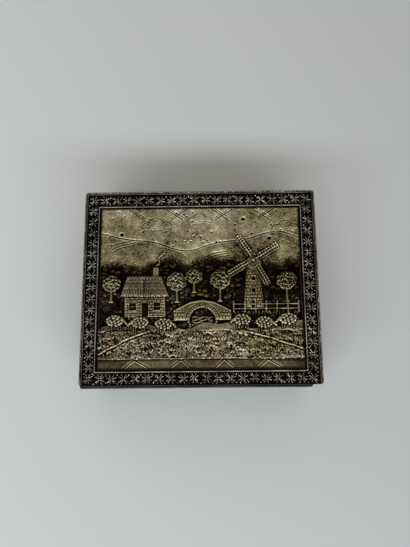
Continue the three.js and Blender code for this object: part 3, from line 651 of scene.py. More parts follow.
def work_mill(relief):
    """A tower mill: a coursed stone tower, a boarded cap and four lattice sails set askew."""
    tower = [(-5.4, 0), (5.4, 0), (3.3, 23), (-3.3, 23)]
    relief.emboss(outline(tower), 1.25, shoulder=3.4, groove=0.4, tone=0.7)
    for row in range(14):
        low = 1.0 + row * 1.6
        half = 5.2 - 0.09 * low
        bow = [(-half, low + 0.4), (-half / 2, low + 0.08), (half / 2, low + 0.08), (half, low + 0.4)]
        relief.line(bow, -0.28, 0.22)
        for k in range(5):
            x = (0.4 * (k + (0.5 if row % 2 else 1.0)) - 1) * half + 0.15 * math.sin(3.0 * k + row)
            if abs(x) < half - 0.3:
                relief.line([(x, low + 0.1), (x, low + 1.6)], -0.25, 0.2)
    work_recess(relief, rectangle(-1.2, 0.2, 1.2, 4.6), 0.3)
    for level in (9.5, 15.5):
        work_recess(relief, oval(0, level, 0.95, 1.15), 0.35)
    relief.line([(-3.9, 20.4), (3.9, 20.4)], 0.25, 0.4)
    relief.emboss(oval(0, 23, 4.1, 3.6), 1.5, shoulder=1.6, groove=0.35, tone=0.62)
    for k in range(-3, 4):
        relief.line([(1.05 * k, 20.6), (0.55 * k, 26.2)], -0.17, 0.16)
    hub = np.array([0, 24.5])
    for k in range(4):
        work_sail(relief, hub, math.pi * (0.17 + k / 2))
    relief.emboss(oval(*hub, 1.15, 1.15), 1.7, shoulder=0.8, groove=0.25)


def work_sail(relief, hub, turn):
    """One sail: a stock with a lattice of bars on both sides."""

    def placed(*points):
        return hub + rotated(points, turn)

    lattice = placed((3, -1.6), (14, -1.6), (14, 1.6), (3, 1.6))
    relief.emboss(outline(lattice), 0.95, shoulder=0.3, foot=0.85, groove=0.35)
    relief.emboss(bar(*placed((0, 0), (14.2, 0)), 0.85), 1.5, shoulder=0.42, foot=0.9, groove=0.3)
    for edge in (-1.6, 1.6):
        relief.line(placed((3, edge), (14, edge)), 0.42, 0.25)
    for k in range(9):
        x = 3.2 + 1.33 * k
        relief.line(placed((x, -1.5), (x, 1.5)), 0.36, 0.2)


def rotated(points, turn):
    """Points turned counter-clockwise about the origin."""
    along = np.array([math.cos(turn), math.sin(turn)])
    return np.asarray(points, float) @ np.array([along, (-along[1], along[0])])


def work_bridge(relief):
    """A hump-backed stone bridge with one arch, and the stream that runs under it."""
    parapet = np.array([(14, 5), (6, 9), (0, 10), (-6, 9), (-14, 5)])
    arch = arc_points(0, 0, 6, np.pi, 0, 24)
    relief.emboss(outline([(-14, 0), *arch, (14, 0), *parapet]), 1.1, shoulder=0.7, groove=0.4, tone=0.7)
    relief.line(arc_points(0, 0, 6.4, np.pi, 0, 24), 0.28, 0.34)
    relief.line(arc_points(0, 0, 8.2, np.pi, 0, 24), -0.22, 0.22)
    for k in range(17):
        relief.line(rotated([(6.7, 0), (8.1, 0)], np.pi * (k + 0.5) / 17), -0.26, 0.17)
    relief.line(parapet, 0.4, 0.5)
    relief.line(parapet - (0, 1.2), -0.24, 0.22)
    for row in range(3):
        low = 0.9 + 1.5 * row
        for side in (-1, 1):
            relief.line([(side * 8.9, low), (side * 13.7, low)], -0.28, 0.22)
            for k in range(3):
                x = side * (9.6 + 1.6 * k + 0.7 * (row % 2))
                relief.line([(x, low), (x, low + 1.4)], -0.25, 0.2)
    for k in range(7):
        ripple = wavy_points(relief, 5.2 - 0.1 * k, -5.6 + 1.2 * k, 0.3, 1.5, 24, shift=1.9 * k)
        relief.line(ripple, 0.42, 0.26)
    for side in (-1, 1):
        for k in range(6):
            stone = oval(side * (6.2 + 0.5 * math.sin(4.0 * k)), -5.8 + 1.05 * k, 0.8, 0.55)
            relief.emboss(stone, 0.75, shoulder=0.5, groove=0.15)


def work_sheep(relief, facing):
    """A grazing sheep: a fleece of round curls, a bent head with an ear, and four legs."""
    for step, back in ((-2.7, 0), (-1.6, 0.35), (1.6, 0.35), (2.6, 0)):
        leg = bar((step, -1), (step + 0.15 * facing, -4.4 + back), 0.75)
        relief.emboss(leg, 1.2, shoulder=0.38, groove=0.35, tone=0.62)
    relief.emboss(oval(0, 0, 3.9, 2.4), 1.3, shoulder=2.4, foot=0.5, groove=0.4, tone=0.6)
    circle = arc_points(0, 0, 1, 0, 2 * np.pi, 14)[:-1]
    curls = np.concatenate([circle * (3.5, 2.15), circle[::2] * (1.9, 1.1), [(0, 0)]])
    for place in curls + relief.random.normal(0, 0.12, curls.shape):
        relief.emboss(oval(*place, 0.85, 0.78), 1.5, shoulder=0.8, foot=0.85, groove=0.12, tone=0.68)
    neck = bar((facing * 2.9, 0.6), (facing * 4.5, -0.5), 1.7)
    relief.emboss(neck, 1.4, shoulder=0.8, groove=0.25, tone=0.66)
    head = bar((facing * 4.6, -0.4), (facing * 5.5, -1.5), 1.5)
    relief.emboss(head, 1.65, shoulder=0.7, groove=0.35, tone=0.75)
    relief.line([(facing * 4.3, 0.5), (facing * 3.5, 0.2)], 0.4, 0.36)
    relief.dots([(facing * 5.0, -0.7)], -0.45, 0.3)
    relief.line([(-facing * 3.9, 0.9), (-facing * 4.7, -0.4)], 0.5, 0.4)


def work_fence(relief, run):
    """Posts and two rails, with grass at the foot."""
    for x in np.linspace(0, run, 7):
        relief.emboss(rectangle(x - 0.55, -3, x + 0.55, 3.2), 1.25, shoulder=0.5, groove=0.3)
        relief.line([(x + 0.1, -2.6), (x + 0.1, 2.8)], -0.12, 0.14)
    for level in (-1.0, 1.2):
        relief.emboss(rectangle(0, level - 0.42, run, level + 0.42), 1.05, shoulder=0.4, groove=0.25)
    blades = np.arange(22)
    roots = np.stack([run * (blades + 0.5) / 22, np.full(22, -3.4)], axis=1)
    relief.strokes(roots, 1.57 + 0.5 * np.sin(9.0 * blades), 1.3, 0.22, 0.4)


def work_strip(relief):
    """The plain strip at the picture's foot, with its row of drawn arrows."""
    at = relief.window((-PAST_EDGE, -HALF_Y - 1), (PAST_EDGE, STRIP_TOP), 0.0)[0]
    relief.height[at] = STRIP
    relief.tone[at] = 0.82
    relief.matt[at] = 0.1
    relief.line([(-PAST_EDGE, STRIP_TOP + 0.15), (PAST_EDGE, STRIP_TOP + 0.15)], 0.3, 0.36)
    for x in across(np.linspace(-0.97, 0.97, 34)):
        if relief.random.random() < 0.5:
            relief.emboss(oval(x, STRIP_TOP + 0.3, 0.7, 0.5), 1.35, shoulder=0.5, foot=0.8, tone=1.0)
    relief.line([(-PAST_EDGE, STRIP_TOP - 0.4), (PAST_EDGE, STRIP_TOP - 0.4)], -0.24, 0.24)
    for share, left, right, deep in ARROWS:
        peak = np.array([across(share), STRIP_TOP - 0.8])
        for side, reach in ((-1, left), (1, right)):
            out = np.array([side * deep, reach]) / np.hypot(reach, deep)
            relief.chased(peak, peak + (side * reach, -deep), out, ridge=0.26, gap=0.46)


def work_crossings(relief):
    """Crossed drawn lines that hang from the picture's upper edge."""
    for share, sides in CROSSINGS:
        for side in sides:
            start = np.array([across(share) + side * 4.6, HALF_Y])
            end = np.array([across(share) - side * 3.4, HALF_Y - 5.4])
            out = np.array([side * 0.57, -0.82])
            relief.chased(start, end, out, ridge=0.3, gap=0.46)
            relief.line([start - 0.46 * out, end - 0.46 * out], -0.38, 0.26)


def picture_relief(pitch):
    """The whole picture, from the deep ground forward."""
    relief = Relief(HALF_X, HALF_Y, pitch, seed=11)
    work_ground(relief)
    work_sky(relief)
    for share_x, share_y, crown in TREES:
        relief.work_at(across(share_x), up(share_y), work_tree, crown)
    relief.work_at(across(0.02), up(-0.43), work_bridge)
    relief.work_at(across(-0.55), up(-0.38), work_cottage)
    relief.work_at(across(0.53), up(-0.3), work_mill)
    relief.work_at(across(0.33), up(-0.26), work_fence, across(0.97 - 0.33))
    work_turf(relief)
    for share_x, share_y, facing in SHEEP:
        relief.work_at(across(share_x), up(share_y), work_sheep, facing)
    work_strip(relief)
    work_crossings(relief)
    row = relief.y[:, None]
    middle = smoothstep(row, up(-0.42), up(-0.32)) * (1 - smoothstep(row, up(0.1), up(0.3)))
    relief.tone *= 1 - 0.3 * middle
    relief.height = 0.35 * relief.height + 0.65 * blurred(relief.height, 0.13 / pitch)
    relief.roughen(0.024, 0.25)
    relief.roughen(0.035, 1.2)
    return relief


def patina_and_painted_light(relief, deep_low, deep_high):
    """How worn each place is, with painted light and shade on its slopes: dark where it lies below its
    surroundings, bright where it stands up.

    It sums the depth, times the tone of each form, the height above three blurred copies of itself,
    from narrow to wide, the slope, as a painted highlight where it faces the grid's low rows and painted
    shade where it faces away, and slow and fine patches.
    """
    heights = relief.height
    depth = smoothstep(blurred(heights, 1.5 / relief.pitch), deep_low, deep_high)
    worn = 0.02 + 0.41 * depth * blurred(relief.tone, 0.35 / relief.pitch)
    for spread, step, share, lift in ((0.3, 0.06, 0.28, 0.9), (0.9, 0.2, 0.26, 0.6), (3.2, 0.5, 0.2, 0.1)):
        stands = np.tanh((heights - blurred(heights, spread / relief.pitch)) / step)
        worn += share * np.where(stands > 0, lift * stands, stands)
    # Painted light: slopes facing the low rows (the picture's front, downward on a side plate) are painted
    # lighter, as a painted highlight from the lamp, and slopes facing away are painted darker, as painted
    # shade.
    slope = np.gradient(blurred(heights, 0.35 / relief.pitch), relief.pitch, axis=0)
    worn += 0.15 * np.tanh(slope / 0.5)
    for spread, share in ((0.25, 0.036), (0.8, 0.05), (2.6, 0.058), (7.0, 0.06)):
        worn += share * relief.grain(spread) * (0.3 + 0.7 * relief.matt)
    return np.clip(worn, 0, 1)


# Finishes


class Nodes:
    """Nodes added to a tree, with their sockets joined or set."""

    def __init__(self, tree):
        self.tree = tree

    def add(self, kind, **values):
        node = self.tree.nodes.new(kind)
        for key, value in values.items():
            if hasattr(node, key):
                setattr(node, key, value)
            else:
                node.inputs[key.replace("_", " ")].default_value = value
        return node

    def join(self, source, target):
        self.tree.links.new(source, target)

    def feed(self, target, value):
        """Joins another node's output to a socket, or sets the socket where the value is a constant."""
        if isinstance(value, bpy.types.NodeSocket):
            self.join(value, target)
        else:
            target.default_value = value

    def maths(self, operation, first, second):
        node = self.add("ShaderNodeMath", operation=operation)
        self.feed(node.inputs[0], first)
        self.feed(node.inputs[1], second)
        return node.outputs[0]

    def mix(self, kind, factor, first, second):
        node = self.add("ShaderNodeMix", data_type="RGBA", blend_type=kind)
        for socket, value in zip(("Factor", "A", "B"), (factor, first, second)):
            self.feed(node.inputs[socket], value)
        return node.outputs["Result"]

    def ramp(self, factor, stops, smooth=False):
        """Colours or greys along a factor: stops of (place, colour)."""
        node = self.add("ShaderNodeValToRGB")
        elements = node.color_ramp.elements
        node.color_ramp.interpolation = "EASE" if smooth else "LINEAR"
        while len(elements) < len(stops):
            elements.new(0.5)
        for element, (place, shade) in zip(elements, stops):
            element.position = place
            element.color = (*shade, 1) if hasattr(shade, "__len__") else (shade, shade, shade, 1)
        self.join(factor, node.inputs["Fac"])
        return node.outputs["Color"]


class Finish(Nodes):
    """A material for one finish, with a shader whose sockets are joined or set."""

    def __init__(self, name):
        self.material = bpy.data.materials.new(name)
        self.material.use_nodes = True
        super().__init__(self.material.node_tree)
        self.tree.nodes.clear()
        self.shader = self.add("ShaderNodeBsdfPrincipled")
        self.join(self.shader.outputs[0], self.add("ShaderNodeOutputMaterial").inputs[0])

    def shade(self, **values):
        """Joins or sets the shader's own sockets."""
        for key, value in values.items():
            self.feed(self.shader.inputs[key.replace("_", " ")], value)

    def places(self, scale=(1, 1, 1), turn=(0, 0, 0)):
        """Places on the piece, in metres, stretched or turned."""
        where = self.add("ShaderNodeTexCoord")
        mapping = self.add("ShaderNodeMapping")
        mapping.inputs["Scale"].default_value = scale
        mapping.inputs["Rotation"].default_value = turn
        self.join(where.outputs["Object"], mapping.inputs["Vector"])
        return mapping.outputs["Vector"]

    def noise(self, places, scale, detail=4.0, roughness=0.55):
        node = self.add("ShaderNodeTexNoise", Scale=scale, Detail=detail, Roughness=roughness)
        self.join(places, node.inputs["Vector"])
        return node.outputs["Fac"]

    def blend(self, *parts):
        """Two greys added up, each times its share."""
        return self.maths("ADD", *(self.maths("MULTIPLY", grey, share) for grey, share in parts))

    def base_shades(self, factor, places, shade, darker, brighter):
        """The base colour: a darker, the plain and a brighter shade at three places of a factor."""
        shades = [tuple(min(1, times * c) for c in shade) for times in (darker, 1, brighter)]
        self.shade(Base_Color=self.ramp(factor, list(zip(places, shades))))

    def bump(self, height, strength, distance):
        node = self.add("ShaderNodeBump", Strength=strength, Distance=distance)
        self.join(height, node.inputs["Height"])
        self.shade(Normal=node.outputs["Normal"])


def aged_metal(name, shades, tints, rough_dark, rough_bright):
    """Metal plate whose wear runs from black oxide, through toned plate, to rubbed bright.

    Slow stains tint it, and finer blotches and specks move the wear up and down.
    """
    finish = Finish(name)
    dark, middle, bright = shades
    places = finish.places()
    worn = finish.add("ShaderNodeAttribute", attribute_name="wear").outputs["Fac"]
    blotch = finish.noise(places, 95, detail=4, roughness=0.6)
    speck = finish.noise(places, 1500, detail=2, roughness=0.6)
    uneven = finish.blend((blotch, 0.36), (speck, 0.32))
    factor = finish.maths("ADD", worn, finish.maths("SUBTRACT", uneven, 0.33))
    shaded = tuple(0.22 * c for c in middle)
    lifted = tuple(0.72 * m + 0.28 * b for m, b in zip(middle, bright))
    tone = finish.ramp(factor, [(0.0, dark), (0.2, shaded), (0.42, middle), (0.62, lifted), (1.0, bright)])
    stain = finish.ramp(finish.noise(finish.places(scale=(1, 1.6, 1)), 34, detail=3), tints)
    rough = finish.ramp(factor, [(0.0, rough_dark), (0.9, rough_bright)])
    finish.shade(Base_Color=finish.mix("MULTIPLY", 1.0, tone, stain), Roughness=rough, Metallic=1.0)
    finish.bump(speck, 0.3, 0.0001)
    return finish.material


def plain_metal(name, shade, rough):
    """Worn plain metal: fine scratches, small stains and a soft polish."""
    finish = Finish(name)
    scratch = finish.noise(finish.places(scale=(1, 14, 14), turn=(0, 0.2, 0.35)), 260, detail=3)
    stain = finish.noise(finish.places(), 210, detail=4)
    finish.base_shades(stain, (0.3, 0.55, 0.8), shade, 0.38, 1.3)
    finish.shade(Roughness=finish.ramp(scratch, [(0.3, rough - 0.1), (0.7, rough + 0.14)]), Metallic=1.0)
    finish.bump(scratch, 0.2, 0.0001)
    return finish.material


def timber(name, shade, along, rough, grain=620):
    """Wood whose grain runs along X or Y, with pores, darker streaks and slow colour bands."""
    finish = Finish(name)
    stretch = (0.06, 1, 1) if along == "x" else (1, 0.06, 1)
    fibres = finish.noise(finish.places(scale=stretch), grain, detail=5, roughness=0.65)
    bands = finish.noise(finish.places(scale=stretch), 90, detail=2)
    finish.base_shades(finish.blend((fibres, 0.55), (bands, 0.45)), (0.3, 0.52, 0.75), shade, 0.5, 1.45)
    finish.shade(Roughness=rough)
    finish.bump(fibres, 0.35, 0.0002)
    return finish.material


def nap(name, shade, scale, sheen):
    """Felted or piled cloth: a fine uneven nap with a soft sheen."""
    finish = Finish(name)
    places = finish.places()
    fuzz = finish.noise(places, scale, detail=5, roughness=0.75)
    patch = finish.noise(places, 60, detail=2)
    finish.base_shades(finish.blend((fuzz, 0.6), (patch, 0.4)), (0.3, 0.5, 0.72), shade, 0.55, 1.5)
    finish.shade(Roughness=0.95, Sheen_Weight=sheen, Sheen_Roughness=0.4)
    finish.bump(fuzz, 0.5, 0.0003)
    return finish.material


def kept(name, make):
    """A finish by name, made the first time it is asked for."""
    return bpy.data.materials.get(name) or make(name)


SILVER_TINTS = [(0.3, (0.90, 0.86, 0.80)), (0.5, (1.0, 1.0, 1.0)), (0.72, (1.02, 1.06, 1.08))]
GILT_TINTS = [
    (0.30, (0.84, 0.88, 0.62)),
    (0.44, (1.0, 1.0, 0.88)),
    (0.56, (1.0, 0.98, 0.98)),
    (0.70, (1.0, 0.86, 0.76)),
]

# Three of the box's colours, the stains, and the roughness in the hollows and on the tops
AGED_PLATES = {
    "border_plate": ("border_dark", "border_middle", "border_bright", SILVER_TINTS, 0.62, 0.32),
    "worn_strip": ("border_dark", "lip", "border_bright", SILVER_TINTS, 0.5, 0.34),
    "picture_gilding": ("picture_dark", "picture_middle", "picture_bright", GILT_TINTS, 0.65, 0.36),
}


def aged_plate(name):
    *shades, tints, rough_dark, rough_bright = AGED_PLATES[name]
    shades = [tuple(getattr(colours(), shade)) for shade in shades]
    return kept(name, lambda name: aged_metal(name, shades, tints, rough_dark, rough_bright))


# The border of the lid

# Each side's two corners, going round the box, the axis that it runs along, and its seed
SIDES = {
    "front": {"low": (-1, -1), "high": (1, -1), "axis": 0, "seed": 21},
    "right": {"low": (1, -1), "high": (1, 1), "axis": 1, "seed": 22},
    "back": {"low": (1, 1), "high": (-1, 1), "axis": 0, "seed": 23},
    "left": {"low": (-1, 1), "high": (-1, -1), "axis": 1, "seed": 24},
}

# Across the rim, from the lid's edge at 0 to the band at 1
ROLL_HALF = 0.235
LINE_AT, LINE_HALF = 0.68, 0.15
LOW_GAP = 0.5
HIGH_GAPS = (0.94, 0.84)

# Stars in a row and in a column with the corners counted, and how far the dots lie beside their line
STARS_ACROSS = 20
STARS_DEEP = 17
DOTS_BESIDE_ROW = 1.95
DOTS_BESIDE_COLUMN = 1.9

# Strokes of a star: their number, how far each pair opens, and the bare middle of the star
ARMS = 8
ARM_LEAN = 0.28
STAR_HUB = 0.35

# Steps of the border's grid and of the skirt's leaves, and the plain strip over the hem
BORDER_PITCH = 0.155
LEAF_STEP = 5.2
HEM_GAP = 0.5

# Two dents: the band by the picture's upper left corner, and the lid's upper right corner
DENTS = ((-50.3, 41.3, 1.0), (54.6, 45.9, 0.9))
DENT_DEPTH = 0.3


def outward(side):
    """The way that a side of the box faces, seen from above."""
    out = np.add(SIDES[side]["low"], SIDES[side]["high"]).astype(float)
    return out / np.linalg.norm(out)


def half_turns(count):
    """Angles along a half circle, without its two ends."""
    return np.linspace(0, np.pi, count)[1:-1]


def border_section():
    """The border's section, from the picture's window out over the rim and down the skirt.

    Each row is (share of the rim, inset from the edge, inset from the plaque, share of the edge, height,
    swell, zone). The share of the rim is scaled by each side's own rim width.
    """
    s = sizes()
    ground = LID_TOP - s.rim_rise
    field = SKIN - s.sheet
    side_low = LID_TOP - s.skirt_drop
    hem_top = LID_BOTTOM + s.skirt_bead + HEM_GAP
    rows = []

    def edge_row(rim, inset, height, swell, zone):
        rows.append((rim, inset, 0.0, 1.0, height, swell, zone))

    def plaque_row(inset, height, swell, zone):
        rows.append((0.0, 0.0, inset, 0.0, height, swell, zone))

    plaque_row(s.fit, BOARD_TOP, 0, "back")
    for inset in np.linspace(s.fit, s.groove, 5):
        plaque_row(inset, ground, 0, "groove")
    for turn in half_turns(10):
        rise = math.sin(turn)
        plaque_row(s.groove + s.bead * (1 - math.cos(turn)) / 2, ground + s.bead_rise * rise, rise, "bead")
    for share in np.linspace(0, 1, 38):
        rows.append((1.0, 0.0, s.groove + s.bead, share, ground, 1, "band"))
    for rim in HIGH_GAPS:
        edge_row(rim, 0, ground, 0, "gap")
    for turn in half_turns(9):
        rise = math.sin(turn)
        edge_row(LINE_AT + LINE_HALF * math.cos(turn), 0, ground + 0.8 * s.rim_rise * rise, rise, "line")
    edge_row(LOW_GAP, 0, ground + 0.1, 0, "gap")
    for turn in half_turns(13):
        rise = math.sin(turn)
        edge_row(ROLL_HALF * (1 + math.cos(turn)), 0, ground + s.rim_rise * math.sqrt(rise), rise, "rim")
    for turn in np.linspace(0, np.pi, 12)[1:]:
        drop = (1 - math.cos(turn)) / 2
        inset = field * drop if turn > np.pi / 2 else 0.0
        edge_row(0, inset, ground - (ground - side_low) * drop, 0, "side")
    for share in np.linspace(0, 1, 34)[1:-1]:
        edge_row(0, field, side_low + (hem_top - side_low) * share, 1, "skirt")
    for turn in half_turns(9):
        height = LID_BOTTOM + s.skirt_bead * (1 + math.cos(turn)) / 2
        edge_row(0, field * (1 - math.sin(turn)), height, 0, "hem")
    edge_row(0, field, LID_BOTTOM, 0, "hem")
    edge_row(0, SKIN, LID_BOTTOM, 0, "back")
    edge_row(0, SKIN, BOARD_TOP, 0, "back")
    return rows


def ring_corner(corner, rim, inset, inset_plaque, share):
    """Where a line of the border meets the mitre at one of the lid's corners."""
    s = sizes()
    sign = np.array(corner, float)
    rims = np.array([s.rim, s.front_rim if corner[1] < 0 else s.rim])
    outer = sign * (LID_HALF - inset - rim * rims)
    inner = sign * (PLAQUE_HALF + inset_plaque) + np.array([0, PLAQUE_Y])
    return outer * share + inner * (1 - share)


def star_ring():
    """The middles of all the border's stars, with the dots between them, and how each one varies.

    The rows run down the middle of the band, and the corner stars belong to both of their sides.
    """
    s = sizes()
    random = np.random.default_rng(5)
    inner = PLAQUE_HALF + s.groove + s.bead
    x = (LID_HALF[0] - s.rim + inner[0]) / 2
    back = (LID_HALF[1] - s.rim + PLAQUE_Y + inner[1]) / 2
    front = (-LID_HALF[1] + s.front_rim + PLAQUE_Y - inner[1]) / 2
    row = np.linspace(-x, x, STARS_ACROSS)
    column = np.linspace(front, back, STARS_DEEP)
    middles = [(at, line) for line in (front, back) for at in row]
    middles += [(line, at) for line in (-x, x) for at in column[1:-1]]
    middles = np.array(middles)
    row_gaps, column_gaps = ((line[:-1] + line[1:]) / 2 for line in (row, column))
    beside_rows = [line + side * DOTS_BESIDE_ROW for line in (front, back) for side in (-1, 1)]
    beside_columns = [line + side * DOTS_BESIDE_COLUMN for line in (-x, x) for side in (-1, 1)]
    dots = [(gap, y) for gap in row_gaps for y in beside_rows]
    dots += [(x, gap) for gap in column_gaps for x in beside_columns]
    dots = np.array(dots) + random.normal(0, 0.16, (len(dots), 2))
    arms = (len(middles), ARMS)
    return {
        "middles": middles + random.normal(0, 0.12, middles.shape),
        "turns": random.normal(0, 0.09, arms),
        "reaches": random.uniform(0.86, 1.04, arms),
        "rises": random.uniform(0.6, 1.0, arms) * random.uniform(0.75, 1.0, (len(middles), 1)),
        "bends": random.uniform(-0.02, 0.03, arms),
        "dots": dots,
        "radii": random.uniform(0.27, 0.45, len(dots)),
        "dot_rises": random.uniform(0.15, 0.45, len(dots)) * (random.random(len(dots)) < 0.85),
    }


def star_heights(x, y, ring):
    """Heights of the border's stars: eight drawn strokes round each middle, and dots between them.

    A stroke is a thin round-backed line, narrowest at the middle of its star, that bends a little aside.
    """
    s = sizes()
    height = np.zeros(x.shape)
    reach_most = 1.05 * s.star
    for k, middle in enumerate(ring["middles"]):
        near = (np.abs(x - middle[0]) < reach_most) & (np.abs(y - middle[1]) < reach_most)
        if not near.any():
            continue
        u, v = x[near] - middle[0], y[near] - middle[1]
        most = np.zeros(u.shape)
        for arm in range(ARMS):
            lean = 1 if arm % 2 else -1
            turn = np.pi / 4 + (arm // 2) * np.pi / 2 + lean * ARM_LEAN + ring["turns"][k, arm]
            out = u * math.cos(turn) + v * math.sin(turn)
            aside = v * math.cos(turn) - u * math.sin(turn) - lean * ring["bends"][k, arm] * out**2
            share = (out - STAR_HUB) / (s.star * ring["reaches"][k, arm] - STAR_HUB)
            ends = np.clip(1 - np.clip((share - 0.85) / 0.15, 0, 1) ** 2, 0, 1)
            half = s.stroke * (0.8 + 0.2 * smoothstep(share, 0, 0.5)) * np.sqrt(ends) + 1e-6
            petal = np.sqrt(np.clip(1 - (aside / half) ** 2, 0, 1)) * (share > 0) * (share < 1)
            most = np.maximum(most, s.star_rise * ring["rises"][k, arm] * petal)
        height[near] = np.maximum(height[near], most)
    for place, radius, rise in zip(ring["dots"], ring["radii"], ring["dot_rises"]):
        near = (np.abs(x - place[0]) < radius) & (np.abs(y - place[1]) < radius)
        away = np.hypot(x[near] - place[0], y[near] - place[1]) / radius
        height[near] = np.maximum(height[near], rise * np.sqrt(np.clip(1 - away**2, 0, 1)))
    return height


def round_corners(places, half, radius):
    """Draws the square corners of a plan in to a radius, seen from above."""
    out = np.abs(places[:, :2]) - (half - radius)
    near = (out > 0).all(axis=1)
    share = out[near].max(axis=1) / np.hypot(*out[near].T)
    moved = (half - radius) + out[near] * share[:, None]
    places[near, :2] = np.sign(places[near, :2]) * moved
    return places


def dent(places, wear):
    """Sinks a round pit at each of the two dents and leaves it dark."""
    ground = LID_TOP - sizes().rim_rise
    top = places[:, 2] > ground - 0.02
    for x, y, radius in DENTS:
        away = np.hypot(places[:, 0] - x, places[:, 1] - y)
        bowl = smoothstep(-away, -radius, -0.55 * radius) * top
        places[:, 2] += bowl * (ground - DENT_DEPTH - places[:, 2])
        wear = wear * (1 - bowl)
    return places, wear


class BorderSide:
    """One mitred side of the border, whose section is drawn from one mitre to the other.

    Each row of the grid is a line along the side, with a height, a swell and a zone of its own.
    """

    def __init__(self, side):
        facts = SIDES[side]
        rows = border_section()
        low, high = (np.array([ring_corner(facts[end], *row[:4]) for row in rows]) for end in ("low", "high"))
        self.side = side
        self.axis = facts["axis"]
        self.columns = int(2 * LID_HALF[self.axis] / BORDER_PITCH)
        share = np.linspace(0, 1, self.columns)
        self.flat = low[:, None, :] + (high - low)[:, None, :] * share[None, :, None]
        self.edge_share, height, self.swell = (np.array([row[k] for row in rows])[:, None] for k in (3, 4, 5))
        self.height = np.repeat(height, self.columns, axis=1)
        self.zones = np.array([row[6] for row in rows])
        self.wear = np.zeros(self.height.shape)
        self.random = np.random.default_rng(facts["seed"])
        self.fade = uneven_wear(self.flat)

    def work_band(self, ring):
        """Raises the stars on the band and rubs them bright, less along the band's two edges."""
        band = self.zones == "band"
        pattern = star_heights(self.flat[band][..., 0], self.flat[band][..., 1], ring)
        pattern *= 1 - 0.4 * smoothstep(np.abs(self.edge_share[band] - 0.5), 0.4, 0.5)
        self.height[band] += pattern + 0.05 * self.random.random(pattern.shape)
        shine = smoothstep(pattern / sizes().star_rise, 0.15, 0.75)
        self.wear[band] = np.clip(0.03 + (0.8 + 0.27 * self.fade[band]) * shine, 0, 1)

    def work_beads(self, zone, cut, least, more):
        """Cuts a rounded line into beads and rubs their tops."""
        s = sizes()
        here = self.zones == zone
        beads = 0.5 + 0.5 * np.cos(self.flat[here][..., self.axis] * 2 * np.pi / s.bead_step)
        self.height[here] -= cut * s.bead_rise * (1 - beads) * self.swell[here]
        rubbed = (0.45 + 0.55 * beads) * (0.55 + 0.45 * self.fade[here])
        self.wear[here] = least + more * self.swell[here] ** 2 * rubbed

    def work_rim(self):
        """Flattens the roll along the lid's edge here and there, where it is rubbed most."""
        rim = self.zones == "rim"
        patches = blurred(self.random.normal(0, 1, (rim.sum(), self.columns)), 2.5)
        patches /= patches.std()
        self.height[rim] -= 0.035 * np.clip(patches, 0, 3)
        crest = self.swell[rim] ** 2
        self.wear[rim] = np.clip(0.16 + 0.44 * crest + 0.1 * patches * crest, 0, 1)

    def work_skirt(self):
        skirt = self.zones == "skirt"
        rise = skirt_pattern(self.flat[skirt][..., self.axis], self.height[skirt], self.axis)
        self.flat[skirt] += rise[..., None] * outward(self.side)
        self.wear[skirt] = np.clip(0.05 + rise * 1.3, 0, 1)
        self.wear[self.zones == "hem"] = 0.5
        self.wear[self.zones == "side"] = 0.1

    def make(self, ring):
        self.work_band(ring)
        self.work_beads("bead", 0.22, 0.28, 0.6)
        self.work_beads("line", 0.3, 0.2, 0.6)
        self.work_rim()
        # Painted shade: the rim and the drawn line on the front side are painted darker than on the other
        # sides, standing in for the shade that edge is seen in.
        if self.side == "front":
            self.wear[self.zones == "rim"] *= 0.5
            self.wear[self.zones == "line"] *= 0.6
        self.work_skirt()
        places = np.dstack([self.flat, self.height]).reshape(-1, 3)
        places, wear = dent(places, self.wear.ravel())
        places = round_corners(places, LID_HALF, sizes().corner)
        faces = tube_faces(*self.height.shape)
        metal = aged_plate("border_plate")
        piece = add_piece(f"star_border_{self.side}", places, faces, "lid", metal, wear)
        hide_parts("lid_frame")


def uneven_wear(flat):
    """Slow changes in how bright the border is rubbed, from 0, left dark, to 1, along its length."""
    x, y = flat[..., 0], flat[..., 1]
    waves = np.sin(0.13 * x + 0.21 * y) + np.sin(0.31 * x - 0.17 * y + 1.3)
    waves += np.sin(0.57 * x + 0.49 * y + 0.4)
    return 0.5 + 0.5 * np.clip(waves / 2.0, -1, 1)


def skirt_pattern(along, height, axis):
    """A running row of upright leaves on the skirt, each with a raised edge and a middle vein."""
    low = LID_BOTTOM + sizes().skirt_bead + HEM_GAP
    high = LID_TOP - sizes().skirt_drop
    share = np.clip((height - low) / (high - low), 0, 1)
    pitch = 2 * LID_HALF[axis] / round(2 * LID_HALF[axis] / LEAF_STEP)
    phase = along / pitch % 1
    half = 0.46 * np.sqrt(np.clip(np.sin(np.pi * np.clip(share * 1.02, 0, 1)), 0, 1))
    away = np.abs(phase - 0.5)
    leaf = np.clip((half - away) / 0.12, 0, 1)
    edge = np.exp(-(((away - half) / 0.06) ** 2)) * (half > 0.08)
    vein = np.exp(-((away / 0.045) ** 2)) * (leaf > 0.5)
    return 0.28 * leaf + 0.3 * edge + 0.2 * vein


class LidBorder(bpy.types.Operator):
    """Make the star border of the lid, with its skirts folded down over the sides"""

    bl_idname = "metal_box.lid_border"
    bl_label = "Star Border"

    def execute(self, context):
        ring = star_ring()
        for side in SIDES:
            BorderSide(side).make(ring)
        return {"FINISHED"}


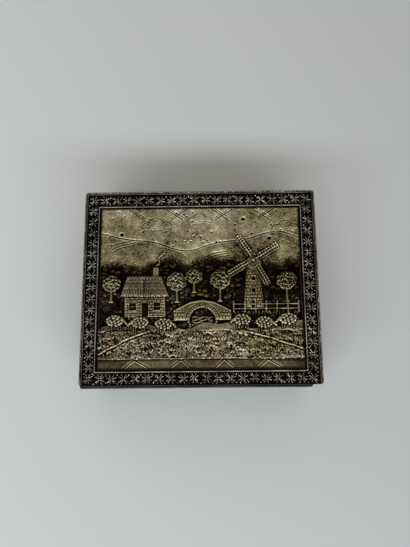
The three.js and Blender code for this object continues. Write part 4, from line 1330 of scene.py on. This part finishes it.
class PicturePlaque(bpy.types.Operator):
    """Make the picture plaque, worked in relief"""

    bl_idname = "metal_box.picture_plaque"
    bl_label = "Picture Plaque"

    def execute(self, context):
        relief = picture_relief(PICTURE_PITCH)
        x, y = np.meshgrid(HALF_X - np.abs(relief.x), HALF_Y - np.abs(relief.y))
        wear = patina_and_painted_light(relief, 0.1, 0.8) * (0.35 + 0.65 * smoothstep(np.minimum(x, y), -0.1, 0.8))
        base = BOARD_TOP + sizes().sheet
        front = base + np.clip(relief.height, -0.25, PLAQUE_HIGH[2] - base)
        split = len(relief.y) // 2
        for name, rows in (("picture_lower", slice(0, split + 1)), ("picture_upper", slice(split, None))):
            self.tile(name, relief.x, relief.y[rows], front[rows], wear[rows])
        return {"FINISHED"}

    def tile(self, name, x, y, front, wear):
        places, faces, worn = slab(x, y, front, BOARD_TOP, wear, 0.5)
        places += (0, PLAQUE_Y, 0)
        gilding = aged_plate("picture_gilding")
        piece = add_piece(name, places, faces, "lid", gilding, worn)
        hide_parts("picture_panel")


# Side plates

# Step of the grid, widths of the rolled rim and the band of stars, step of the stars, and the stem's wave
PLATE_PITCH = 0.25
PLATE_RIM = 1.5
PLATE_BAND = 4.2
PLATE_STAR_STEP = 5.3
STEM_BEND = 17.0
STEM_SWING = 5.2


def plate_relief(half_width, half_height, pitch, seed):
    """Foliage of a side plate: a wave stem with a flower and leaves in each bend, between star rows."""
    relief = Relief(half_width, half_height, pitch, seed)
    x, y = np.meshgrid(relief.x, relief.y)
    rim = np.minimum(half_width - np.abs(x), half_height - np.abs(y))
    roll = np.sqrt(np.clip(1 - (2 * rim / PLATE_RIM - 1) ** 2, 0, 1)) * (rim < PLATE_RIM)
    relief.height = (SKIN - sizes().sheet) * roll
    line = half_height - PLATE_RIM - PLATE_BAND / 2
    last = half_width - PLATE_RIM - PLATE_BAND / 2
    middles = np.linspace(-last, last, int(round(2 * last / PLATE_STAR_STEP)) + 1)
    pattern = star_heights(x, y, plate_ring(middles, line, relief.random))
    relief.height += np.where(np.abs(np.abs(y) - line) < PLATE_BAND / 2, pattern * 1.1, 0)
    reach = half_width - PLATE_RIM
    for side in (-1, 1):
        low = side * (half_height - PLATE_RIM - PLATE_BAND)
        relief.line([(-reach, low), (reach, low)], 0.45, 0.4)
    work_scroll(relief, reach - 8.0)
    return relief


def plate_ring(middles, line, random):
    """Two rows of stars along a plate's upper and lower edges, a little smaller than the lid's."""
    places = np.array([(middle, side * line) for side in (-1, 1) for middle in middles])
    gaps = (middles[:-1] + middles[1:]) / 2
    dots = np.array([(gap, side * line + lift) for gap in gaps for side in (-1, 1) for lift in (-1.5, 1.5)])
    arms = (len(places), ARMS)
    return {
        "middles": places + random.normal(0, 0.1, places.shape),
        "turns": random.normal(0, 0.07, arms),
        "reaches": random.uniform(0.68, 0.8, arms),
        "rises": random.uniform(0.6, 1.0, arms),
        "bends": random.uniform(0, 0.06, arms),
        "dots": dots,
        "radii": random.uniform(0.25, 0.38, len(dots)),
        "dot_rises": random.uniform(0.2, 0.4, len(dots)),
    }


def work_scroll(relief, half_run):
    """A wave stem and, in each bend, a rosette and curling leaves."""
    bends = max(2, int(round(2 * half_run / STEM_BEND)))
    for k in range(bends):
        x = -half_run + 2 * half_run * (k + 0.5) / bends
        side = 1 if k % 2 == 0 else -1
        y = -side * STEM_SWING * 0.35
        relief.work_at(x, y, work_rosette, 3.5)
        for lean in (-1, 1):
            root = (x + lean * 2.2, y + side * 4.4)
            work_leaf(relief, root, -side * 0.5 * np.pi + lean * 0.95, 5.2)
        if k < bends - 1:
            root, turn = (x + half_run / bends, 0), -side * 0.25 * np.pi
            work_leaf(relief, root, turn, 7.0)
            work_leaf(relief, root, turn + np.pi, 5.0)
    stem = curve_points(
        lambda x: STEM_SWING * np.sin(np.pi * bends * (x + half_run) / (2 * half_run)),
        -half_run, half_run, 20 * bends,
    )
    relief.line(stem, 0.55, 0.62)


def work_rosette(relief, reach):
    """A six-petalled flower with a domed middle."""
    for k in range(6):
        turn = np.pi * (k + 0.5) / 3
        along = reach * np.array([math.cos(turn), math.sin(turn)])
        relief.emboss(oval(*(0.56 * along), 0.42 * reach, 0.42 * reach), 0.62, shoulder=0.9, groove=0.1)
        relief.line([(0, 0), 0.85 * along], 0.14, 0.2)
    relief.emboss(oval(0, 0, 0.26 * reach, 0.26 * reach), 0.85, shoulder=0.7, groove=0.15)


def work_leaf(relief, root, turn, long):
    """A pointed leaf with a raised vein, bent a little along its length."""
    share = np.linspace(0, 1, 9)
    aside = 0.12 * long * np.sin(np.pi * share)
    half = 0.2 * long * np.sin(np.pi * share**0.8)
    left, vein, right = (
        rotated(np.stack([share * long, aside + side * half], axis=1), turn) + root for side in (1, 0, -1)
    )
    relief.emboss(outline(np.concatenate([left, right[-2:0:-1]])), 0.55, shoulder=0.6, groove=0.1)
    relief.line(vein, 0.16, 0.2)


def make_plate(side):
    """One side plate of the body, standing against its board."""
    node = f"{side}_plate"
    low, high = corners_mm(node)
    middle, half = (low + high) / 2, (high - low) / 2
    out = outward(side)
    right = np.array([-out[1], out[0]])
    back = float(np.abs(middle[:2] @ out)) - SKIN / 2
    facts = SIDES[side]
    relief = plate_relief(float(half[facts["axis"]]), float(half[2]), PLATE_PITCH, facts["seed"] + 10)
    wear = patina_and_painted_light(relief, -0.3, 0.5)
    front = sizes().sheet + np.clip(relief.height, 0, SKIN - sizes().sheet)
    places, faces, worn = slab(relief.x, relief.y, front, 0.0, wear, 0.6)
    flat = places[:, :1] * right + (back + places[:, 2:]) * out
    places = np.concatenate([flat, middle[2] + places[:, 1:2]], axis=1)
    metal = aged_plate("border_plate")
    piece = add_piece(f"{node}_relief", places, faces, "body", metal, worn)
    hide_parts(node)


class SidePlates(bpy.types.Operator):
    """Make the embossed plates of the body's four sides"""

    bl_idname = "metal_box.side_plates"
    bl_label = "Side Plates"

    def execute(self, context):
        for side in SIDES:
            make_plate(side)
        return {"FINISHED"}


# The lip: rounding of its two ends, where its front steps back, and its rows behind the nose
LIP_ENDS = (0.8, 1.6)
LIP_STEP = (-12.4, -11.0)
LIP_COLUMNS = 260
LIP_TREAD = np.array([(0.3, 0.0), (0.45, 0.08), (0.6, 0.0), (0.85, 0.0), (1.0, 0.0)])
# Each row's value, from the root, round the nose and over the tread: the nose's underside and front are
# painted near black as painted shade, lighter towards its top, and the tread's raised line is lighter.
LIP_WEAR_AND_PAINTED_SHADE = (0.2, 0.2, *(0.03,) * 8, 0.06, 0.22, 0.36, 0.34, 0.16, 0.56, 0.58, 0.2, 0.1)


def drawn_back(away, radius):
    """How far a rounded corner draws a straight edge back, at each distance from its end."""
    share = np.clip(1 - away / radius, 0, 1)
    return radius * (1 - np.sqrt(1 - share**2))


def lip_places():
    """The strip, from its root along the underside, round the nose and back over the top."""
    low, high = corners_mm("finger_lip")
    half = (high[2] - low[2]) / 2
    x = np.linspace(low[0], high[0], LIP_COLUMNS)
    fading = (high[0] - x) / (high[0] - low[0])
    step = 0.16 * smoothstep(x, *LIP_STEP) * fading + 0.03 * np.sin(x * 0.35) + 0.03
    ends = drawn_back(high[0] - x, LIP_ENDS[1]) + drawn_back(x - low[0], LIP_ENDS[0])
    front = low[1] + np.clip(step, 0, 0.3) + ends
    turn = np.linspace(-np.pi / 2, np.pi / 2, 13)
    nose = np.stack([-np.cos(turn), np.sin(turn)], axis=1)
    nose = np.sign(nose) * np.abs(nose) ** 0.3 * half
    nose_y = front + half + nose[:, :1]
    tread_y = nose_y[-1] + (high[1] - nose_y[-1]) * LIP_TREAD[:, :1]
    y = np.concatenate([np.full((1, len(x)), high[1]), nose_y, tread_y])
    z = (high[2] + low[2]) / 2 + np.concatenate([[-half], nose[:, 1], half - LIP_TREAD[:, 1]])
    return np.dstack(np.broadcast_arrays(x, y, z[:, None]))


class FingerLip(bpy.types.Operator):
    """Make the plain strip under the lid's front edge"""

    bl_idname = "metal_box.finger_lip"
    bl_label = "Finger Lip"

    def execute(self, context):
        places = lip_places()
        rows, columns = places.shape[:2]
        faces = tube_faces(rows, columns, turned_over=True)
        wear = np.repeat(LIP_WEAR_AND_PAINTED_SHADE, columns)
        metal = aged_plate("worn_strip")
        piece = add_piece("finger_lip_strip", places, faces, "lid", metal, wear)
        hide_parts("finger_lip")
        return {"FINISHED"}


# Head radius, shank radius and head height of the nails
NAIL_HEAD = 0.9
NAIL_SHANK = 0.4
NAIL_TALL = 0.6


def make_nail(node, metal):
    """An escutcheon nail turned round its own axis: a domed head with a rim, a shank and a point."""
    low, high = corners_mm(node)
    middle = (low + high) / 2
    axis = int(np.argmax(high - low))
    sign = 1.0 if middle[axis] > 0 else -1.0
    reach = float(high[axis] - low[axis])
    seat = reach - NAIL_TALL
    turn = np.linspace(0, np.pi / 2, 9)
    dome = np.stack([0.9 * NAIL_HEAD * np.cos(turn), seat + 0.18 + (NAIL_TALL - 0.18) * np.sin(turn)], axis=1)
    rim = [(NAIL_HEAD - 0.06, seat), (NAIL_HEAD, seat + 0.04), (NAIL_HEAD, seat + 0.1)]
    places, faces = turned([(0, 0), (0.12, 0.1), (NAIL_SHANK, 0.9), (NAIL_SHANK, seat), *rim, *dome], 24)
    others = [k for k in (0, 1, 2) if k != axis]
    moved = np.empty_like(places)
    moved[:, axis] = middle[axis] + sign * (places[:, 2] - reach / 2)
    moved[:, others[0]] = middle[others[0]] + places[:, 0]
    moved[:, others[1]] = middle[others[1]] + places[:, 1] * (sign if axis == 0 else -sign)
    body = "lid" if node.startswith("skirt") else "body"
    piece = add_piece(f"domed_{node}", moved, faces, body, metal)
    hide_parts(node)


class Nails(bpy.types.Operator):
    """Make the domed nails that hold the plates and the skirts"""

    bl_idname = "metal_box.nails"
    bl_label = "Domed Nails"

    def execute(self, context):
        brass = worn_brass()
        for name in list(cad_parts):
            if name.startswith(("plate_nail", "skirt_nail")):
                make_nail(name, brass)
        return {"FINISHED"}


def worn_brass():
    return kept("worn_brass", lambda name: plain_metal(name, tuple(colours().brass), 0.32))


class Hinges(bpy.types.Operator):
    """Finish the hinges with their pins and screws"""

    bl_idname = "metal_box.hinges"
    bl_label = "Hinges and Screws"

    def execute(self, context):
        for name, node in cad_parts.items():
            if name.startswith(("hinge_", "screw_")):
                finish_node(node, worn_brass())
        return {"FINISHED"}


def finish_node(node, material):
    """Gives a carried-over piece its finish."""
    node.data.materials.clear()
    node.data.materials.append(material)


# Radius of the pad's and the baize sheet's corners, seen from above
CLOTH_CORNER = 2.5


def pillow(low, high, round_edge, crown, seed, lumps):
    """A closed flat cushion: a flat foot, edges rounded like a quarter circle, and a top with a swell.

    Its plan is a rectangle with rounded corners, and slow waves keep its top from lying dead flat.
    """
    middle, half = (low + high) / 2, (high - low) / 2
    steps = np.concatenate([np.linspace(0, 1, 9) ** 1.6 * 0.06, np.linspace(0.075, 0.5, 60)])
    share = np.concatenate([steps, 1 - steps[-2::-1]]) * 2 - 1
    u, v = np.meshgrid(share, share)
    plan = np.dstack([u, v]) * half[:2]
    plan = round_corners(plan.reshape(-1, 2), half[:2], CLOTH_CORNER).reshape(plan.shape)
    gap = np.minimum((1 - np.abs(u)) * half[0], (1 - np.abs(v)) * half[1])
    roll = np.sqrt(1 - (1 - np.clip(gap / round_edge, 0, 1)) ** 2)
    waves = blurred(np.random.default_rng(seed).normal(0, 1, u.shape), 9)
    waves /= np.abs(waves).max()
    swell = crown * (1 - u**2) * (1 - v**2) + lumps * waves * roll
    thick = float(high[2] - low[2])
    top = low[2] + 0.3 * thick + (0.7 * thick - crown - lumps) * roll + swell * (gap > 0)
    places, faces, _ = closed_below(np.dstack([plan + middle[:2], top]), low[2], middle[:2])
    return places, faces


class SoftLinings(bpy.types.Operator):
    """Make the velvet pad on the inside bottom and the baize sheet under the box"""

    bl_idname = "metal_box.soft_linings"
    bl_label = "Pad and Baize"

    def execute(self, context):
        c = colours()
        velvet = kept("velvet_pile", lambda n: nap(n, tuple(c.velvet), 2400, 0.6))
        places, faces = pillow(*corners_mm("floor_pad"), 1.2, 0.25, 41, 0.12)
        pad = add_piece("velvet_pad", places, faces, "body", velvet)
        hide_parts("floor_pad")
        felt = kept("baize_felt", lambda n: nap(n, tuple(c.baize), 1800, 0.3))
        low, high = corners_mm("base_baize")
        places, faces = pillow(low, high, 0.4, 0.0, 42, 0.02)
        sheet = add_piece("baize_sheet", places, faces, "body", felt)
        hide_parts("base_baize")
        return {"FINISHED"}


class Woodwork(bpy.types.Operator):
    """Finish the boards and linings of the box"""

    bl_idname = "metal_box.woodwork"
    bl_label = "Woodwork"

    def execute(self, context):
        c = colours()
        for name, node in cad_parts.items():
            along = "y" if name.endswith(("left_board", "right_board", "_left", "_right")) else "x"
            if name.endswith("_board") or name.startswith("lid_rim"):
                wood = kept(f"walnut_{along}", lambda n: timber(n, tuple(c.walnut), along, 0.45))
                finish_node(node, wood)
            if name.startswith("liner") or name == "lid_lining":
                wood = kept(f"cedar_{along}", lambda n: timber(n, tuple(c.cedar), along, 0.62, grain=480))
                finish_node(node, wood)
        return {"FINISHED"}


# Stage

# A camera that sees the lid as the photograph does: place over the lid's top, turn in degrees, and lens
CAMERA_PLACE = (0.00503, -0.04919, 0.25545)
CAMERA_TURN = (12.049, 0.708, -0.515)
CAMERA_LENS = 35.46
CAMERA_SENSOR = 36.0

# A wide, low window to the front, aimed at the box
LAMP_PLACE = (-0.076, -1.176, 1.309)
LAMP_AIM = (0, 0, 0.03)
LAMP_SIZE = (3.5, 0.42)
LAMP_POWER = 37.0
LAMP_COLOUR = (0.86, 0.95, 1.0)

BACKDROP = (0.52, 0.53, 0.52)
FLOOR_REACH = 3


class Stage(bpy.types.Operator):
    """Make the pale floor, the soft light and the camera"""

    bl_idname = "metal_box.stage"
    bl_label = "Stage"

    def execute(self, context):
        scene = context.scene
        scene.view_settings.view_transform = "Standard"
        self.floor()
        self.window_light()
        scene.world = self.surroundings()
        lens = bpy.data.cameras.new("view")
        lens.lens = CAMERA_LENS
        lens.sensor_width = CAMERA_SENSOR
        lens.clip_start = 0.01
        camera = bpy.data.objects.new("view", lens)
        camera.location = Vector(CAMERA_PLACE) + Vector((0, 0, LID_TOP * MM))
        camera.rotation_euler = [math.radians(turn) for turn in CAMERA_TURN]
        scene.collection.objects.link(camera)
        scene.camera = camera
        return {"FINISHED"}

    def floor(self):
        mesh = bpy.data.meshes.new("floor")
        corners = [(x * FLOOR_REACH, y * FLOOR_REACH, 0) for x, y in ((-1, -1), (1, -1), (1, 1), (-1, 1))]
        mesh.from_pydata(corners, [], [(0, 1, 2, 3)])
        floor = bpy.data.objects.new("floor", mesh)
        bpy.context.scene.collection.objects.link(floor)
        finish = Finish("floor_paper")
        # Painted light: the floor's colour goes from a little lighter on the left to darker on the right,
        # standing in for light that falls off across the floor.
        shade = np.array(colours().floor)
        split = finish.add("ShaderNodeSeparateXYZ")
        finish.join(finish.places(scale=(2.5, 2.5, 1)), split.inputs[0])
        place = finish.maths("ADD", split.outputs["X"], 0.5)
        tone = finish.ramp(place, [(0.2, tuple(1.05 * shade)), (0.8, tuple(0.86 * shade))])
        finish.shade(Base_Color=tone, Roughness=0.7)
        mesh.materials.append(finish.material)

    def surroundings(self):
        """A pale room, brightest overhead and then at the back.

        The metal mirrors a softer gradient, and the camera sees a plain pale backdrop.
        """
        world = bpy.data.worlds.new("studio")
        world.use_nodes = True
        nodes = Nodes(world.node_tree)
        way = nodes.add("ShaderNodeSeparateXYZ")
        nodes.join(nodes.add("ShaderNodeTexCoord").outputs["Generated"], way.inputs[0])
        mirrored = self.gradient(nodes, way.outputs["Z"], (0.45, 0.25), (0.98, 0.78))
        zenith = self.gradient(nodes, way.outputs["Z"], (0.7, 0.1), (0.98, 0.9))
        wall = self.gradient(nodes, way.outputs["Y"], (0.0, 0.0), (1.0, 0.6))
        rays = nodes.add("ShaderNodeLightPath").outputs
        lit = nodes.mix("ADD", 1.0, zenith, wall)
        room = nodes.mix("MIX", rays["Is Diffuse Ray"], mirrored, lit)
        seen = nodes.mix("MIX", rays["Is Camera Ray"], room, (*BACKDROP, 1))
        nodes.join(seen, world.node_tree.nodes["Background"].inputs["Color"])
        return world

    def gradient(self, nodes, factor, *stops):
        """A warm grey that goes softly from one shade to another, by stops of (place, shade)."""
        tinted = [(place, (shade, 0.985 * shade, 0.88 * shade)) for place, shade in stops]
        return nodes.ramp(factor, tinted, smooth=True)

    def window_light(self):
        """A soft rectangular lamp that faces the box."""
        lamp = bpy.data.lights.new("window_light", "AREA")
        lamp.shape = "RECTANGLE"
        lamp.size, lamp.size_y = LAMP_SIZE
        lamp.energy = LAMP_POWER
        lamp.color = LAMP_COLOUR
        light = bpy.data.objects.new("window_light", lamp)
        light.location = LAMP_PLACE
        light.rotation_euler = (Vector(LAMP_AIM) - Vector(LAMP_PLACE)).to_track_quat("-Z", "Y").to_euler()
        bpy.context.scene.collection.objects.link(light)


OPERATORS = (Stage, LidBorder, PicturePlaque, SidePlates, FingerLip, Nails, Hinges, Woodwork, SoftLinings)


class MetalBoxPanel(bpy.types.Panel):
    """Lists the steps that build the box"""

    bl_idname = "VIEW3D_PT_metal_box"
    bl_label = "Metal Box"
    bl_space_type = "VIEW_3D"
    bl_region_type = "UI"
    bl_category = "Metal Box"

    def draw(self, context):
        for operator in OPERATORS:
            self.layout.operator(operator.bl_idname)


CLASSES = (BoxSizes, BoxColours, *OPERATORS, MetalBoxPanel)


def register():
    for cls in CLASSES:
        bpy.utils.register_class(cls)
    bpy.types.Scene.metal_box_sizes = PointerProperty(type=BoxSizes)
    bpy.types.Scene.metal_box_colours = PointerProperty(type=BoxColours)


def unregister():
    del bpy.types.Scene.metal_box_sizes
    del bpy.types.Scene.metal_box_colours
    for cls in reversed(CLASSES):
        bpy.utils.unregister_class(cls)


def main():
    """Builds the whole box."""
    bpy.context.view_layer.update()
    register()
    for operator in OPERATORS:
        group, step = operator.bl_idname.split(".")
        getattr(getattr(bpy.ops, group), step)()


if __name__ == "__main__":
    main()
